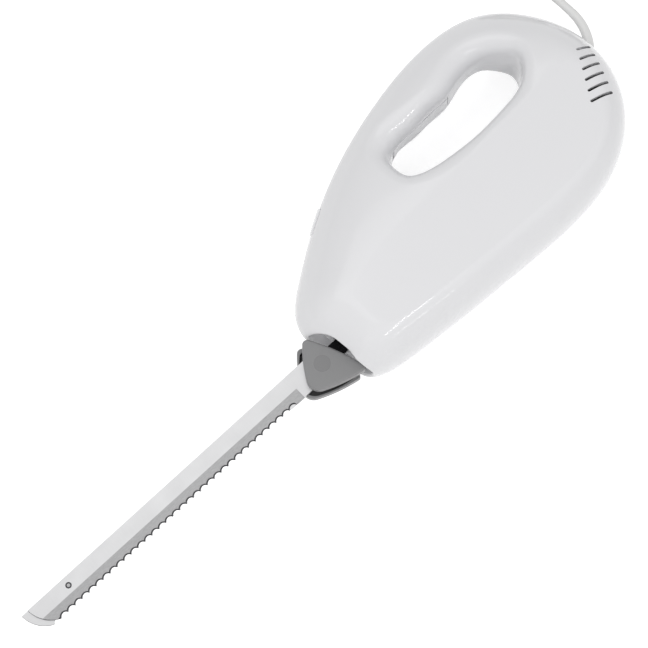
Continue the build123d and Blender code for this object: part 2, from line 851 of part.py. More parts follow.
def tie_sleeves():
    """The spacer sleeves on the long screws, between the stator and the bridges."""
    core_start = nose_x + core_setback
    gaps = (
        (nose_x + front_bridge_setback + bridge_thickness, core_start),
        (core_start + core_length, nose_x + rear_bridge_setback),
    )
    sleeves = []
    for start, end in gaps:
        for y, z in tie_screw_places():
            sleeve = bar(start, end, y, z, tie_screw_head_radius)
            sleeves.append(sleeve - bar(start, end, y, z, tie_screw_radius))
    return Compound(children=sleeves)


def stator_core():
    """The laminated stator with two poles and slots for the field coils."""
    x = nose_x + core_setback
    solid = across(x, bridge_outline(0), core_length)
    solid -= bar(x - wall, x + core_length + wall, motor_y, 0, rotor_radius + air_gap)
    for y, z in tie_screw_places():
        solid -= bar(x - wall, x + core_length + wall, y, z, tie_screw_radius)
    for slot in coil_slots(fit_clearance):
        solid -= slot
    return solid


def pie(half_angle, top, radius):
    """A pie-shaped piece of a disc round the top or the bottom of the shaft's section."""
    middle = 0 if top else math.pi
    half = math.radians(half_angle)
    start = (radius * math.cos(middle - half), radius * math.sin(middle - half))
    end = (radius * math.cos(middle + half), radius * math.sin(middle + half))
    crown = (radius * math.cos(middle), radius * math.sin(middle))
    return make_face([Line((0, 0), start), ThreePointArc(start, crown, end), Line(end, (0, 0))])


def coil_sketch(half_angle, top, growth):
    """The band that a field coil fills, across the shaft."""
    band = pie(half_angle, top, coil_outer_radius + growth)
    return band - Circle(coil_inner_radius - growth)


def coil_slots(growth):
    """The slots in the stator for the coils' sides."""
    x = nose_x + core_setback
    slots = []
    for top in (True, False):
        band = coil_sketch(coil_half_angle, top, growth) - pie(pole_half_angle, top, 2 * coil_outer_radius)
        slots.append(across(x - wall, band, core_length + 2 * wall))
    return slots


def field_coil(top):
    """A field coil wound round one pole, with its end turns."""
    x = nose_x + core_setback
    ends = coil_end_length
    whole = across(x - ends, coil_sketch(coil_half_angle, top, 0), core_length + 2 * ends)
    pole = across(x - fit_clearance, coil_sketch(pole_half_angle, top, wall), core_length + 2 * fit_clearance)
    return whole - pole


def rotor_core():
    """The slotted rotor stack on the shaft."""
    x = nose_x + core_setback
    disc = Circle(rotor_radius) - Circle(shaft_radius)
    for index in range(rotor_slot_count):
        slot = Pos(rotor_radius, 0) * Rectangle(2 * rotor_slot_depth, rotor_slot_width)
        disc -= Rot(0, 0, index * 360 / rotor_slot_count) * slot
    return across(x, disc, core_length)


def rotor_windings():
    """The wound end turns at both ends of the rotor."""
    x = nose_x + core_setback
    ring = Circle(winding_radius) - Circle(shaft_radius)
    front = across(x - winding_length, ring, winding_length)
    back = across(x + core_length, ring, winding_length)
    return Compound(children=[front, back])


def commutator():
    """The commutator with its bars parted by grooves."""
    x = nose_x + commutator_setback
    disc = Circle(commutator_radius) - Circle(shaft_radius)
    for index in range(rotor_slot_count):
        groove = Pos(commutator_radius, 0) * Rectangle(rotor_slot_width, rotor_slot_width / 3)
        disc -= Rot(0, 0, index * 360 / rotor_slot_count) * groove
    return across(x, disc, commutator_length)


def cooling_fan():
    """The fan in front of the rotor: a hub, a disc and radial blades."""
    x = nose_x + fan_setback
    hub_radius = shaft_radius + wall
    solid = across(x, Circle(hub_radius) - Circle(shaft_radius), fan_width)
    solid += across(x, Circle(fan_radius) - Circle(shaft_radius), fan_disc_thickness)
    blade_middle = Pos((fan_radius + hub_radius) / 2 - fit_clearance, 0)
    blade_sketch = blade_middle * Rectangle(fan_radius - hub_radius, fan_blade_thickness)
    for index in range(fan_blade_count):
        solid += across(x, Rot(0, 0, index * 360 / fan_blade_count) * blade_sketch, fan_width)
    return solid


def brush_x():
    """The middle of the brushes along the shaft."""
    return nose_x + commutator_setback + commutator_length / 2


def brush():
    """The left carbon brush, its end curved to the commutator."""
    x = brush_x()
    half = brush_width / 2
    start = commutator_radius - wall
    block = box(x - half, x + half, motor_y - half, motor_y + half, start, start + brush_length)
    return block - bar(x - overrun, x + overrun, motor_y, 0, commutator_radius + fit_clearance)


def brush_holder():
    """The left brush's box, hung from the rear bridge."""
    x = brush_x()
    half = brush_width / 2 + fit_clearance
    outer = half + brush_holder_wall
    start = commutator_radius + 2 * running_clearance
    end = start + brush_holder_length
    tube = box(x - outer, x + outer, motor_y - outer, motor_y + outer, start, end)
    tube -= box(x - half, x + half, motor_y - half, motor_y + half, start, end - brush_holder_wall)
    bridge_x = nose_x + rear_bridge_setback
    foot = box(x + outer, bridge_x, motor_y - half, motor_y + half, end - 2 * wall, end)
    return tube + foot


def brush_spring():
    """The left brush's spring, a bent leaf that presses it onto the commutator."""
    x = brush_x()
    half = spring_strip_width / 2
    low = commutator_radius - wall + brush_length
    high = commutator_radius + 2 * running_clearance + brush_holder_length - brush_holder_wall
    thick = spring_strip_thickness
    foot = box(x - half, x + half, motor_y - half, motor_y + half, low, low + thick)
    top = box(x - half, x + half, motor_y - half, motor_y + half, high - thick, high)
    web = box(x - half, x - half + thick, motor_y - half, motor_y + half, low, high)
    return foot + top + web


def trigger():
    """The long finger lever in the grip's underside, rocking on its pin, with a stop inside the wall."""
    pin_x, pin_y = place(trigger_shares)
    top = pin_y + trigger_thickness / 2
    low = grip_underside_y() - 2 * trigger_proud
    body = trigger_hole(0, 0, low, top) - opening_form(-trigger_proud)
    body = fillet(body.faces().sort_by(Axis.Y)[0].edges(), trigger_edge_rounding)
    front = pin_x - trigger_length
    half = trigger_width / 2
    stop_half = trigger_width / 3
    stop_y = grip_underside_y() + opening_wall + running_clearance
    stop_top = stop_y + trigger_stop_thickness
    neck = box(front, front + trigger_stop_thickness, pin_y, stop_top, -half, half)
    stop = box(front - wall, front + trigger_stop_thickness, stop_y, stop_top, -stop_half, stop_half)
    return body + neck + stop - rod(pin_x, pin_y, -overrun, overrun, trigger_pin_radius + shaft_clearance)


def grip_underside_y():
    """The height of the grip's underside over the trigger."""
    return (place(opening_shares[9])[1] + place(opening_shares[10])[1]) / 2


def trigger_pin():
    """The pin that the trigger rocks on."""
    x, y = place(trigger_shares)
    return rod(x, y, -trigger_pin_length / 2, trigger_pin_length / 2, trigger_pin_radius)


def switch_body():
    """The closed switch between the grip's ribs."""
    x, y = place(switch_shares)
    half = switch_length / 2
    up = switch_height / 2
    aside = switch_width / 2
    solid = box(x - half, x + half, y - up, y + up, -aside, aside)
    bore = Rot(90, 0, 0) * Cylinder(plunger_radius + shaft_clearance, plunger_length)
    return solid - Pos(x, y - up + plunger_length / 2, 0) * bore


def plunger_tip_y():
    """The height of the plunger's tip, just over the trigger."""
    return place(trigger_shares)[1] + trigger_thickness / 2 + running_clearance


def switch_plunger():
    """The switch's plunger, pushed up by the trigger."""
    x, y = place(switch_shares)
    low = plunger_tip_y()
    top = y - switch_height / 2 + plunger_length - wall
    return Pos(x, (low + top) / 2, 0) * Rot(90, 0, 0) * Cylinder(plunger_radius, top - low)


def trigger_spring():
    """The leaf that returns the trigger, from the switch down to the lever."""
    x, y = place(switch_shares)
    start = x + plunger_radius + wall
    end = x + switch_length / 2
    low = place(trigger_shares)[1] + trigger_thickness / 2 + shaft_clearance
    high = y - switch_height / 2
    thick = spring_strip_thickness
    half = spring_strip_width / 2
    top = box(start, end, high - thick, high, -half, half)
    web = box(start, start + thick, low, high, -half, half)
    foot = box(start, end, low, low + thick, -half, half)
    return top + web + foot


def release_button():
    """The push button on the front of the grip, with the stem that spreads the clips."""
    x = nose_x + button_share * body_length
    surface = button_surface_y()
    low = surface - button_height
    crown = Pos(0, button_proud, 0) * body_form(0)
    cap = button_hole(0, low, surface + 4 * wall) & crown
    tip_y = blade_top + lip_height + running_clearance
    lip_x = root_x + tang_length - latch_hole_setback
    half = stem_thickness / 2
    knee = tip_y + (low - tip_y) / 3
    side = stem_width / 2
    neck = stem_width / 3
    outline = Polyline(
        (lip_x - side, tip_y), (lip_x + side, tip_y), (lip_x + side, knee), (x + neck, low), (x - neck, low),
        (lip_x - side, knee), close=True,
    )
    stem = Pos(0, 0, -half) * extrude(make_face(outline), amount=stem_thickness)
    return cap + stem


def release_spring_x():
    """Where the release spring and its shelf start."""
    return nose_x + button_share * body_length + stem_width / 3 + running_clearance - wall


def release_spring_foot_y():
    """The height of the shelf that the release spring stands on."""
    return button_surface_y() - button_height - button_travel - 2 * wall


def release_spring():
    """The leaf under the button's cap that pushes it out again."""
    start = release_spring_x()
    end = start + wall + spring_strip_width
    low = release_spring_foot_y()
    high = button_surface_y() - button_height - shaft_clearance
    thick = spring_strip_thickness
    half = button_width / 3
    top = box(start, end, high - thick, high, half / 2, half)
    web = box(end - thick, end, low, high, half / 2, half)
    foot = box(start, end, low, low + thick, half / 2, half)
    return top + web + foot


def relief_bend():
    """The curve of the strain relief's outer part."""
    frame = relief_plane()
    return JernArc(frame.origin, frame.z_dir, relief_bend_radius, relief_turn_angle)


def relief_section(place_share, radius):
    """A round section of the bent relief at a share of its curve."""
    bend = relief_bend()
    return Plane(origin=bend @ place_share, x_dir=(0, 0, 1), z_dir=bend % place_share) * Circle(radius)


def strain_relief():
    """The tapered, bent sleeve round the cord where it leaves the rear, with its flange inside."""
    sections = []
    for index in range(relief_section_count):
        share = index / (relief_section_count - 1)
        radius = relief_radius + (cord_radius + fit_clearance - relief_radius) * share
        sections.append(relief_section(share, radius))
    inner = Pos(0, 0, -relief_inside_length / 2) * Cylinder(relief_radius, relief_inside_length)
    middle = -relief_flange_setback - relief_flange_thickness / 2
    flange = Pos(0, 0, middle) * Cylinder(relief_flange_radius, relief_flange_thickness)
    return loft(sections) + relief_plane() * (inner + flange)


def cord_route():
    """The free cord's route, from the relief down to the surface and on to the coil."""
    bend = relief_bend()
    start = bend @ 1
    points = [start, start + (bend % 1) * first_run]
    for step, drop in zip(route_steps, route_drop_shares):
        points.append(Vector(start.X + step[0], start.Y + step[1], drop * coil_layer_z))
    return [tuple(point) for point in points]


def route_radii(points):
    """The radius of each corner of the route, from a share of its shorter run."""
    radii = []
    for before, here, after in zip(points, points[1:], points[2:]):
        first = Vector(*here) - Vector(*before)
        second = Vector(*after) - Vector(*here)
        half_turn = math.radians(first.get_angle(second)) / 2
        radii.append(bend_share * min(first.length, second.length) / math.tan(half_turn))
    return radii


def tube(path, radius):
    """A round tube along a path."""
    section = Plane(origin=path @ 0, z_dir=path % 0) * Circle(radius)
    return sweep(section, path=path)


def cord():
    """The free stretch of cord."""
    points = cord_route()
    radii = route_radii(points)
    path = FilletPolyline(*points, radius=radii)
    solid = tube(path, cord_radius)
    print("cord radii", [round(radius, 1) for radius in radii], "length", round(path.length, 1))
    print("cord volume over section times length", solid.volume / (math.pi * cord_radius ** 2 * path.length))
    return solid


def coil_path():
    """The put-away cord: a flat spiral in, a half turn up and a flat spiral out."""
    x, y, z = cord_route()[-1]
    straight = 2 * cord_radius
    edges = [Line((x, y, z), (x, y + straight, z))]
    here = Vector(x, y + straight, z)
    way = 1
    radius = coil_start_radius
    half_step = coil_spacing / 2

    def half_turn(start, direction, size):
        crown = start + Vector(direction * size, direction * size, 0)
        end = start + Vector(direction * 2 * size, 0, 0)
        edges.append(ThreePointArc(start, crown, end))
        return end

    for _ in range(2 * coil_turns):
        here = half_turn(here, way, radius)
        way = -way
        radius -= half_step
    rise = coil_spacing / 2
    crown = here + Vector(way * radius, way * math.hypot(radius, rise), rise)
    top = here + Vector(way * 2 * radius, 0, 2 * rise)
    climb = TangentArc(here, crown, tangent=(0, way, 0))
    edges += [climb, TangentArc(crown, top, tangent=climb % 1)]
    here = top
    way = -way
    radius += half_step
    for _ in range(2 * coil_turns):
        here = half_turn(here, way, radius)
        way = -way
        radius += half_step
    edges.append(Line(here, here + Vector(0, way * coil_exit_length, 0)))
    return Wire(edges)


def coil_end():
    """Where the coil ends, and the way it points."""
    path = coil_path()
    return path @ 1, path % 1


def least_coil_gap(path):
    """The least gap between turns, measured on points of the coil's middle line."""
    points = [path @ (index / gap_sample_count) for index in range(gap_sample_count + 1)]
    apart = int(6 * cord_radius * gap_sample_count / path.length)
    least = overall_length
    for index, point in enumerate(points):
        for other in points[index + apart:]:
            least = min(least, (point - other).length)
    return least - 2 * cord_radius


def cord_coil():
    """The coil as one unbroken tube."""
    path = coil_path()
    solid = tube(path, cord_radius)
    print("coil gap", round(least_coil_gap(path), 2), "length", round(path.length, 1))
    print("coil volume over section times length", solid.volume / (math.pi * cord_radius ** 2 * path.length))
    return solid


def cord_strap():
    """The strap that ties the coil's turns together."""
    x, y, z = cord_route()[-1]
    centre_x = x + coil_start_radius
    centre_y = y + 2 * cord_radius
    slack = cord_radius + strap_gap + coil_spacing / 2
    inner_low = centre_y + coil_start_radius - coil_turns * coil_spacing - slack
    inner_high = centre_y + coil_start_radius + slack
    low_z = z - cord_radius - strap_gap
    high_z = z + coil_spacing + cord_radius + strap_gap
    half = strap_width / 2
    thick = strap_thickness
    start = centre_x - half
    end = centre_x + half
    outer = box(start, end, inner_low - thick, inner_high + thick, low_z - thick, high_z + thick)
    return outer - box(start, end, inner_low, inner_high, low_z, high_z)


def plug_plane():
    """The plane square to the cord at the plug's tail."""
    origin, direction = coil_end()
    return Plane(origin=origin, x_dir=(1, 0, 0), z_dir=direction)


def plug_body():
    """The flat two-pin plug with its tapered tail."""
    tail = loft([Circle(cord_radius + fit_clearance), Pos(0, 0, plug_tail_length) * Circle(plug_tail_radius)])
    neck = plug_neck_width / 2
    half = plug_width / 2
    start = plug_tail_length
    end = start + plug_length
    outline = Polyline(
        (-neck, start), (neck, start), (half, start + plug_length / 2), (half, end), (-half, end),
        (-half, start + plug_length / 2), close=True,
    )
    face = Plane.XZ * make_face(outline)
    body = extrude(face, amount=plug_thickness / 2, both=True)
    body = fillet(body.edges().filter_by(Axis.Y), plug_neck_width / 4)
    return plug_plane() * (tail + body)


def plug_pins():
    """The plug's two round pins."""
    start = plug_tail_length + plug_length
    pins = []
    for side in (-1, 1):
        middle = Pos(side * plug_pin_spacing / 2, 0, start + plug_pin_length / 2)
        pin = middle * Cylinder(plug_pin_radius, plug_pin_length)
        pins.append(plug_plane() * fillet(pin.edges().sort_by(Axis.Z)[-1:], plug_pin_radius / 2))
    return Compound(children=pins)


def save(name, shape):
    """Write one piece to its file."""
    export_step(shape, f"parts/{name}.step")


def main():
    os.makedirs("parts", exist_ok=True)
    left, right = housing_halves()
    shift = blade_stagger / 2
    pieces = {
        "housing_left": left,
        "housing_right": right,
        "housing_screws": housing_screws(),
        "blade_left": blade_left_piece(),
        "blade_right": blade_right_piece(),
        "blade_rivet": rivet(),
        "guard_left": guard(shift),
        "guard_right": mirrored(guard(-shift)),
        "driver_left": driver(shift),
        "driver_right": mirrored(driver(-shift)),
        "clip_left": clip(shift),
        "clip_right": mirrored(clip(-shift)),
        "drive_gear": drive_gear(),
        "eccentric_left": eccentric(1),
        "eccentric_right": eccentric(-1),
        "gear_axle": rod(gear_x, gear_y, -axle_length / 2, axle_length / 2, axle_radius),
        "worm": worm(),
        "motor_shaft": motor_shaft(),
        "shaft_tip_bush": bush(nose_x + shaft_nose_setback),
        "front_bush": bush(front_bush_x()),
        "rear_bush": bush(rear_bush_x()),
        "front_bridge": bridge(nose_x + front_bridge_setback, -1),
        "rear_bridge": bridge(nose_x + rear_bridge_setback, 1),
        "motor_screws": tie_screws(),
        "motor_sleeves": tie_sleeves(),
        "stator_core": stator_core(),
        "field_coil_upper": field_coil(True),
        "field_coil_lower": field_coil(False),
        "rotor_core": rotor_core(),
        "rotor_windings": rotor_windings(),
        "commutator": commutator(),
        "cooling_fan": cooling_fan(),
        "brush_left": brush(),
        "brush_right": mirrored(brush()),
        "brush_holder_left": brush_holder(),
        "brush_holder_right": mirrored(brush_holder()),
        "brush_spring_left": brush_spring(),
        "brush_spring_right": mirrored(brush_spring()),
        "capacitor": capacitor(),
        "trigger": trigger(),
        "trigger_pin": trigger_pin(),
        "trigger_spring": trigger_spring(),
        "switch_body": switch_body(),
        "switch_plunger": switch_plunger(),
        "release_button": release_button(),
        "release_spring": release_spring(),
        "strain_relief": strain_relief(),
        "cord": cord(),
        "cord_coil": cord_coil(),
        "cord_strap": cord_strap(),
        "plug_body": plug_body(),
        "plug_pins": plug_pins(),
    }
    for name, shape in pieces.items():
        save(name, shape)


main()
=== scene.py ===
import json
import math

import bmesh
import bpy
from bpy.props import FloatProperty, FloatVectorProperty, IntProperty, PointerProperty
from mathutils import Matrix, Vector

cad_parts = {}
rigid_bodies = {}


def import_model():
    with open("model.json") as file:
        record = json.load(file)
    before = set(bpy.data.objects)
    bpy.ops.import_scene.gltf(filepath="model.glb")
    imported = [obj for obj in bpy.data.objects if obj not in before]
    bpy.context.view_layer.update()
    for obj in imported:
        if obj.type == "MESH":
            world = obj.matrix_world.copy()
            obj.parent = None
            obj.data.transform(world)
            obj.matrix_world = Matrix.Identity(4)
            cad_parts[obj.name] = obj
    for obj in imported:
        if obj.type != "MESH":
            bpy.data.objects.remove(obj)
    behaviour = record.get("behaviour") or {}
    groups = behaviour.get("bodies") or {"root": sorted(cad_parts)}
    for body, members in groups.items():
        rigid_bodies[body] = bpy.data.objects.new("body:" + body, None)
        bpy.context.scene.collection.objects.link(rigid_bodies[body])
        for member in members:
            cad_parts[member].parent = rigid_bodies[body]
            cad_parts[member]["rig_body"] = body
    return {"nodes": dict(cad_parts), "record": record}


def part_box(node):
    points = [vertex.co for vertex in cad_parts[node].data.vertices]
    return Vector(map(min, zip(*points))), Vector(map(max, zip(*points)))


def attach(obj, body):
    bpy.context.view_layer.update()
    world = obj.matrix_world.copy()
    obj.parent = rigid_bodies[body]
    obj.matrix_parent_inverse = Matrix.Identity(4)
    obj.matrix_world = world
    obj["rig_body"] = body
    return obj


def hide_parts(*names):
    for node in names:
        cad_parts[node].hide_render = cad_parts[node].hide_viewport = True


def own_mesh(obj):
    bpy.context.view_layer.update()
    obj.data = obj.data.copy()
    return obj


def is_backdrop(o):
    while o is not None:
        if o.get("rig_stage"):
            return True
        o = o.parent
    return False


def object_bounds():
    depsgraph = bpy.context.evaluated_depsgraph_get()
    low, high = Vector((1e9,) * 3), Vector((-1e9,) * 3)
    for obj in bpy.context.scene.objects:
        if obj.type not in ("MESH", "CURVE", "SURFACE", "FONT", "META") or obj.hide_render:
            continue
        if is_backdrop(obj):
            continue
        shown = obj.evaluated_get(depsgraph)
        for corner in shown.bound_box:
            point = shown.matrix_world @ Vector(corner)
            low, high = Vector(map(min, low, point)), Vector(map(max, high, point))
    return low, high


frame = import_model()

bl_info = {
    "name": "Electric Carving Knife",
    "version": (1, 0, 0),
    "blender": (4, 5, 0),
    "location": "3D View > Sidebar > Carving Knife",
    "description": "Finishes, fine detail and cord for the electric carving knife",
    "category": "Object",
}

MM = 0.001
WELD = 0.002 * MM

# Edges that turn by less than this are shaded smooth: on most pieces, and on the curved mouldings
CREASE = math.radians(30)
MOULDED_CREASE = math.radians(24)

# Faces that lean from each other by less than this count as one flat face
LEVEL = math.radians(0.5)

# The range that most of a noise pattern's values lie in
NOISE_LOW = 0.3
NOISE_HIGH = 0.7

# Blender's wave pattern turns by this many radians in a metre at a scale of one
WAVE_RADIANS = 20

NODES = frame["nodes"]
SLOTS = {part["node"]: part["material_slot"] for part in frame["record"]["subparts"]}

# The free cord's route, from the strain relief down to the surface
CORD_ROUTE = (
    (227.96, 23.71, 0.0), (227.74, 36.10, 0.0), (227.36, 49.11, -4.98), (227.46, 62.11, -12.44),
    (227.66, 75.11, -21.57), (227.86, 88.61, -27.65), (227.86, 102.11, -27.65),
)

# Soft swells that bring the hand opening to the photographed outline: middle, reach and move in millimetres
SWELLS = (
    ((127, 31), (12, 6), (0, 2.3)),
    ((89, 13), (10, 9), (-1.6, -1.6)),
    ((180, 22), (10, 9), (2.2, 0.5)),
    ((171, 35), (9, 6), (0, 1.0)),
)


def to_linear(code, opacity=None):
    """An sRGB hex colour in Blender's linear values."""
    values = []
    for start in (1, 3, 5):
        share = int(code[start:start + 2], 16) / 255
        values.append(share / 12.92 if share <= 0.04045 else ((share + 0.055) / 1.055) ** 2.4)
    return tuple(values) if opacity is None else (*values, opacity)


def colour_setting(title, text, code):
    """A colour that a user can change."""
    return FloatVectorProperty(
        name=title, description=text, subtype="COLOR", size=3, min=0, max=1, default=to_linear(code)
    )


def length_setting(title, text, size, low=0.0, high=2.0):
    """A length in metres that a user can change."""
    return FloatProperty(
        name=title, description=text, unit="LENGTH", default=size, min=low, max=high, precision=5
    )


class KnifeFinishSettings(bpy.types.PropertyGroup):
    """The colours of the visible mouldings and steel."""
    housing: colour_setting("Housing", "White glossy ABS of the housing", "#E6E6E8")
    guard: colour_setting("Guard", "Grey satin ABS of the guards", "#858586")
    blade: colour_setting("Blade", "Ground stainless steel", "#C1C1C2")
    # The scallops' dark grey is painted reflection, and painted shade on the tip's arris and the ring round
    # the rivet
    scallop: colour_setting("Scallops", "Coarser grinding inside the scallops", "#4A4A4C")
    sheath: colour_setting("Cord sheath", "White PVC of the cord and plug", "#E4E4E3")


class KnifeBladeSettings(bpy.types.PropertyGroup):
    """The sizes of the scalloped edge."""
    toe: length_setting("Toe", "From the tip to the first point", 10.6 * MM)
    pitch: length_setting("Pitch", "From point to point", 5 * MM)
    depth: length_setting("Depth", "How deep each scallop is cut", 1.8 * MM)
    rim: length_setting("Rim", "Width of the ground rim of each scallop", 0.7 * MM)
    cut: IntProperty(name="Cut", description="Scallops that the blade comes with", default=32)
    added: IntProperty(name="Added", description="Scallops added towards the guard", default=2)
    steps: IntProperty(name="Steps", description="Straight runs in each added scallop", default=8)
    grind: length_setting("Grind", "Height of the ground face over the edge", 6.6 * MM)
    thin: length_setting("Thin", "How much the ground face takes off at the edge", 0.85 * MM)
    tang: length_setting("Tang", "The unground end that the guard covers", 36 * MM)


class KnifeCordSettings(bpy.types.PropertyGroup):
    """The sizes of the cord and its coil."""
    diameter: length_setting("Diameter", "The sheath's diameter", 5 * MM)
    length: length_setting("Length", "From the strain relief to the plug", 1259.8 * MM)
    lead: length_setting("Lead", "Straight run into the coil", 5 * MM)
    tail: length_setting("Tail", "Straight run out of the coil", 20 * MM)
    outer_radius: length_setting("Outer radius", "The coil's first half turn", 35.75 * MM)
    spacing: length_setting("Spacing", "From one turn to the next", 5.5 * MM)
    turns: IntProperty(name="Turns", description="Turns in each layer", default=3, min=1, max=8)
    turn_steps: IntProperty(name="Steps", description="Points in each half turn", default=8, min=6, max=24)


class KnifeCameraSettings(bpy.types.PropertyGroup):
    """Where the camera stands."""
    distance: length_setting("Distance", "From the lens to the middle of the view", 1200 * MM, high=10.0)
    lens: FloatProperty(name="Lens", description="Focal length in millimetres", default=121.88)
    swing: FloatProperty(
        name="Swing", description="Turn towards the blades", subtype="ANGLE", default=math.radians(7.454)
    )
    slope: FloatProperty(
        name="Slope", description="Turn towards the cutting edges", subtype="ANGLE", default=math.radians(12)
    )
    roll: FloatProperty(
        name="Roll", description="Turn of the picture", subtype="ANGLE", default=math.radians(43.697)
    )


GROUPS = {
    "finish": KnifeFinishSettings,
    "cord": KnifeCordSettings,
    "camera": KnifeCameraSettings,
    "blade": KnifeBladeSettings,
}


def settings(group):
    """One group of the knife's settings."""
    return getattr(bpy.context.scene, f"knife_{group}")


def add_node(tree, kind, options=None, **inputs):
    """A shader node with its options, values and links. An input called i and a number is found by number."""
    node = tree.nodes.new(kind)
    for name, value in (options or {}).items():
        setattr(node, name, value)
    for name, value in inputs.items():
        socket = node.inputs[int(name[1:])] if name[0] == "i" and name[1:].isdigit() else node.inputs[name]
        if isinstance(value, bpy.types.NodeSocket):
            tree.links.new(value, socket)
        else:
            socket.default_value = value
    return node


def new_material(name):
    """An empty material and its node tree."""
    material = bpy.data.materials.new(name)
    material.use_nodes = True
    material.node_tree.nodes.clear()
    return material, material.node_tree


def grain(tree, size, stretch=(1, 1, 1), detail=2.0, roughness=0.5):
    """Noise whose marks are about that size, drawn out along the axes by the stretch."""
    place = add_node(tree, "ShaderNodeTexCoord")
    scale = tuple(1 / share for share in stretch)
    mapped = add_node(tree, "ShaderNodeMapping", Vector=place.outputs["Object"], Scale=scale)
    marks = {"Vector": mapped.outputs["Vector"], "Scale": 1 / size, "Detail": detail, "Roughness": roughness}
    return add_node(tree, "ShaderNodeTexNoise", None, **marks).outputs["Fac"]


def spread(tree, value, low, high, low_in=0.0, high_in=1.0):
    """A value fitted to a range."""
    limits = {"From Min": low_in, "From Max": high_in, "To Min": low, "To Max": high}
    return add_node(tree, "ShaderNodeMapRange", None, Value=value, **limits).outputs["Result"]


def mixed(tree, share, first, second):
    """Two colours, which are the node's inputs 6 and 7, mixed by a share."""
    colours = {"i6": (*first, 1), "i7": (*second, 1), "Factor": share}
    return add_node(tree, "ShaderNodeMix", {"data_type": "RGBA"}, **colours).outputs[2]


def uneven(tree, value, change, size):
    """A value that drifts up and down by a change, in patches of about that size."""
    return spread(tree, grain(tree, size), value - change, value + change, NOISE_LOW, NOISE_HIGH)


def shade(colour, factor):
    """A colour made lighter or darker."""
    return tuple(min(1.0, channel * factor) for channel in colour)


def bumped(tree, height, depth, normal=None):
    """A normal with relief of that depth."""
    inputs = {"Height": height, "Distance": depth, "Strength": 1.0}
    if normal is not None:
        inputs["Normal"] = normal
    return add_node(tree, "ShaderNodeBump", None, **inputs).outputs["Normal"]


def finish_with(material, tree, surface, **inputs):
    """The surface shader and the material's output."""
    shader = add_node(tree, "ShaderNodeBsdfPrincipled", None, **{**surface, **inputs})
    add_node(tree, "ShaderNodeOutputMaterial", Surface=shader.outputs["BSDF"])
    return material


def moulded_plastic(name, colour, roughness, peel, texture, texture_depth, mottle=0.03, **extra):
    """A moulded thermoplastic: soft waviness, a fine mould texture and a faint change of tone."""
    material, tree = new_material(name)
    waves = grain(tree, peel, detail=1.0)
    pits = grain(tree, texture, detail=3.0)
    tone = mixed(tree, grain(tree, size=40 * MM), shade(colour, 1 - mottle), shade(colour, 1 + mottle))
    gloss = uneven(tree, roughness, change=0.03, size=14 * MM)
    normal = bumped(tree, pits, texture_depth, bumped(tree, waves, depth=0.008 * MM))
    surface = {"Base Color": tone, "Roughness": gloss, "Normal": normal, "IOR": 1.53, **extra}
    return finish_with(material, tree, surface)


def brushed_metal(name, colour, roughness, stretch, line=0.12 * MM, depth=0.003 * MM, mottle=0.04):
    """A metal with fine lines along one axis, drawn a little coarser than real grinding so that they show."""
    material, tree = new_material(name)
    lines = grain(tree, line, stretch=stretch, detail=3.0)
    tone = mixed(tree, lines, shade(colour, 1 - mottle), shade(colour, 1 + mottle))
    gloss = uneven(tree, roughness, change=0.04, size=12 * MM)
    surface = {"Base Color": tone, "Roughness": gloss, "Normal": bumped(tree, lines, depth)}
    return finish_with(material, tree, surface, Metallic=1.0)


def white_abs():
    """Injection moulded ABS from a polished tool: a soft gloss with slight waviness."""
    colour = settings("finish").housing
    return moulded_plastic(
        "white_abs", colour, roughness=0.13, peel=14 * MM, texture=0.6 * MM,
        texture_depth=0.0005 * MM, mottle=0.006, IOR=1.48,
    )


def grey_abs():
    """ABS from a spark eroded tool: satin, with a fine even grain."""
    return moulded_plastic(
        "grey_abs", settings("finish").guard, roughness=0.42, peel=5 * MM, texture=0.45 * MM,
        texture_depth=0.012 * MM, mottle=0.03,
    )


def hollow_painted_shade_abs():
    """The guard's hollow: the same moulded grey, matt, and darkened as painted shade in the hollow."""
    # Painted shade: the hollow's grey is darkened to three tenths
    colour = shade(settings("finish").guard, factor=0.3)
    return moulded_plastic(
        "hollow_painted_shade_abs", colour, roughness=0.6, peel=5 * MM, texture=0.45 * MM,
        texture_depth=0.02 * MM, mottle=0.05,
    )


def glossy_grey_painted_reflection_abs():
    """The guard's boss: the same moulded grey, glossier, and a little darker as painted reflection."""
    # Painted reflection: the boss's grey is darkened a little
    colour = shade(settings("finish").guard, factor=0.85)
    return moulded_plastic(
        "glossy_grey_painted_reflection_abs", colour, roughness=0.22, peel=5 * MM, texture=0.45 * MM,
        texture_depth=0.001 * MM, mottle=0.02,
    )


def ground_stainless():
    """Martensitic stainless strip, ground across the blade: pale, with fine lines square to its length."""
    return brushed_metal(
        "ground_stainless", settings("finish").blade, roughness=0.36, stretch=(1, 30, 1), line=0.2 * MM
    )


def wheel_ground_painted_reflection():
    """The ground face along the edge: the same strip, with coarser lines along the wheel's way, and darker as
    painted reflection.
    """
    # Painted reflection: the ground face's steel is darkened to two thirds of the blade's
    colour = shade(settings("finish").blade, factor=0.66)
    return brushed_metal(
        "wheel_ground_painted_reflection", colour, roughness=0.42, stretch=(4, 1, 1), line=0.5 * MM, mottle=0.22
    )


def scallop_painted_reflection_and_shade():
    """The scallops' insides, cut by a coarse wheel: dull, and dark as painted reflection; the tip's arris and
    the ring round the rivet take it as painted shade.
    """
    # Painted reflection and painted shade: the dark grey comes from the finish settings
    return brushed_metal(
        "scallop_painted_reflection_and_shade", settings("finish").scallop, roughness=0.55,
        stretch=(1, 1, 1), line=0.25 * MM,
    )


def tang_painted_shade():
    """The tangs' steel: satin, and drawn near black as painted shade for the dark slot round them."""
    # Painted shade: near black steel where the tangs sit in the shade of the mouth
    return brushed_metal(
        "tang_painted_shade", to_linear("#1C1C1E"), roughness=0.45, stretch=(1, 1, 1), line=0.5 * MM
    )


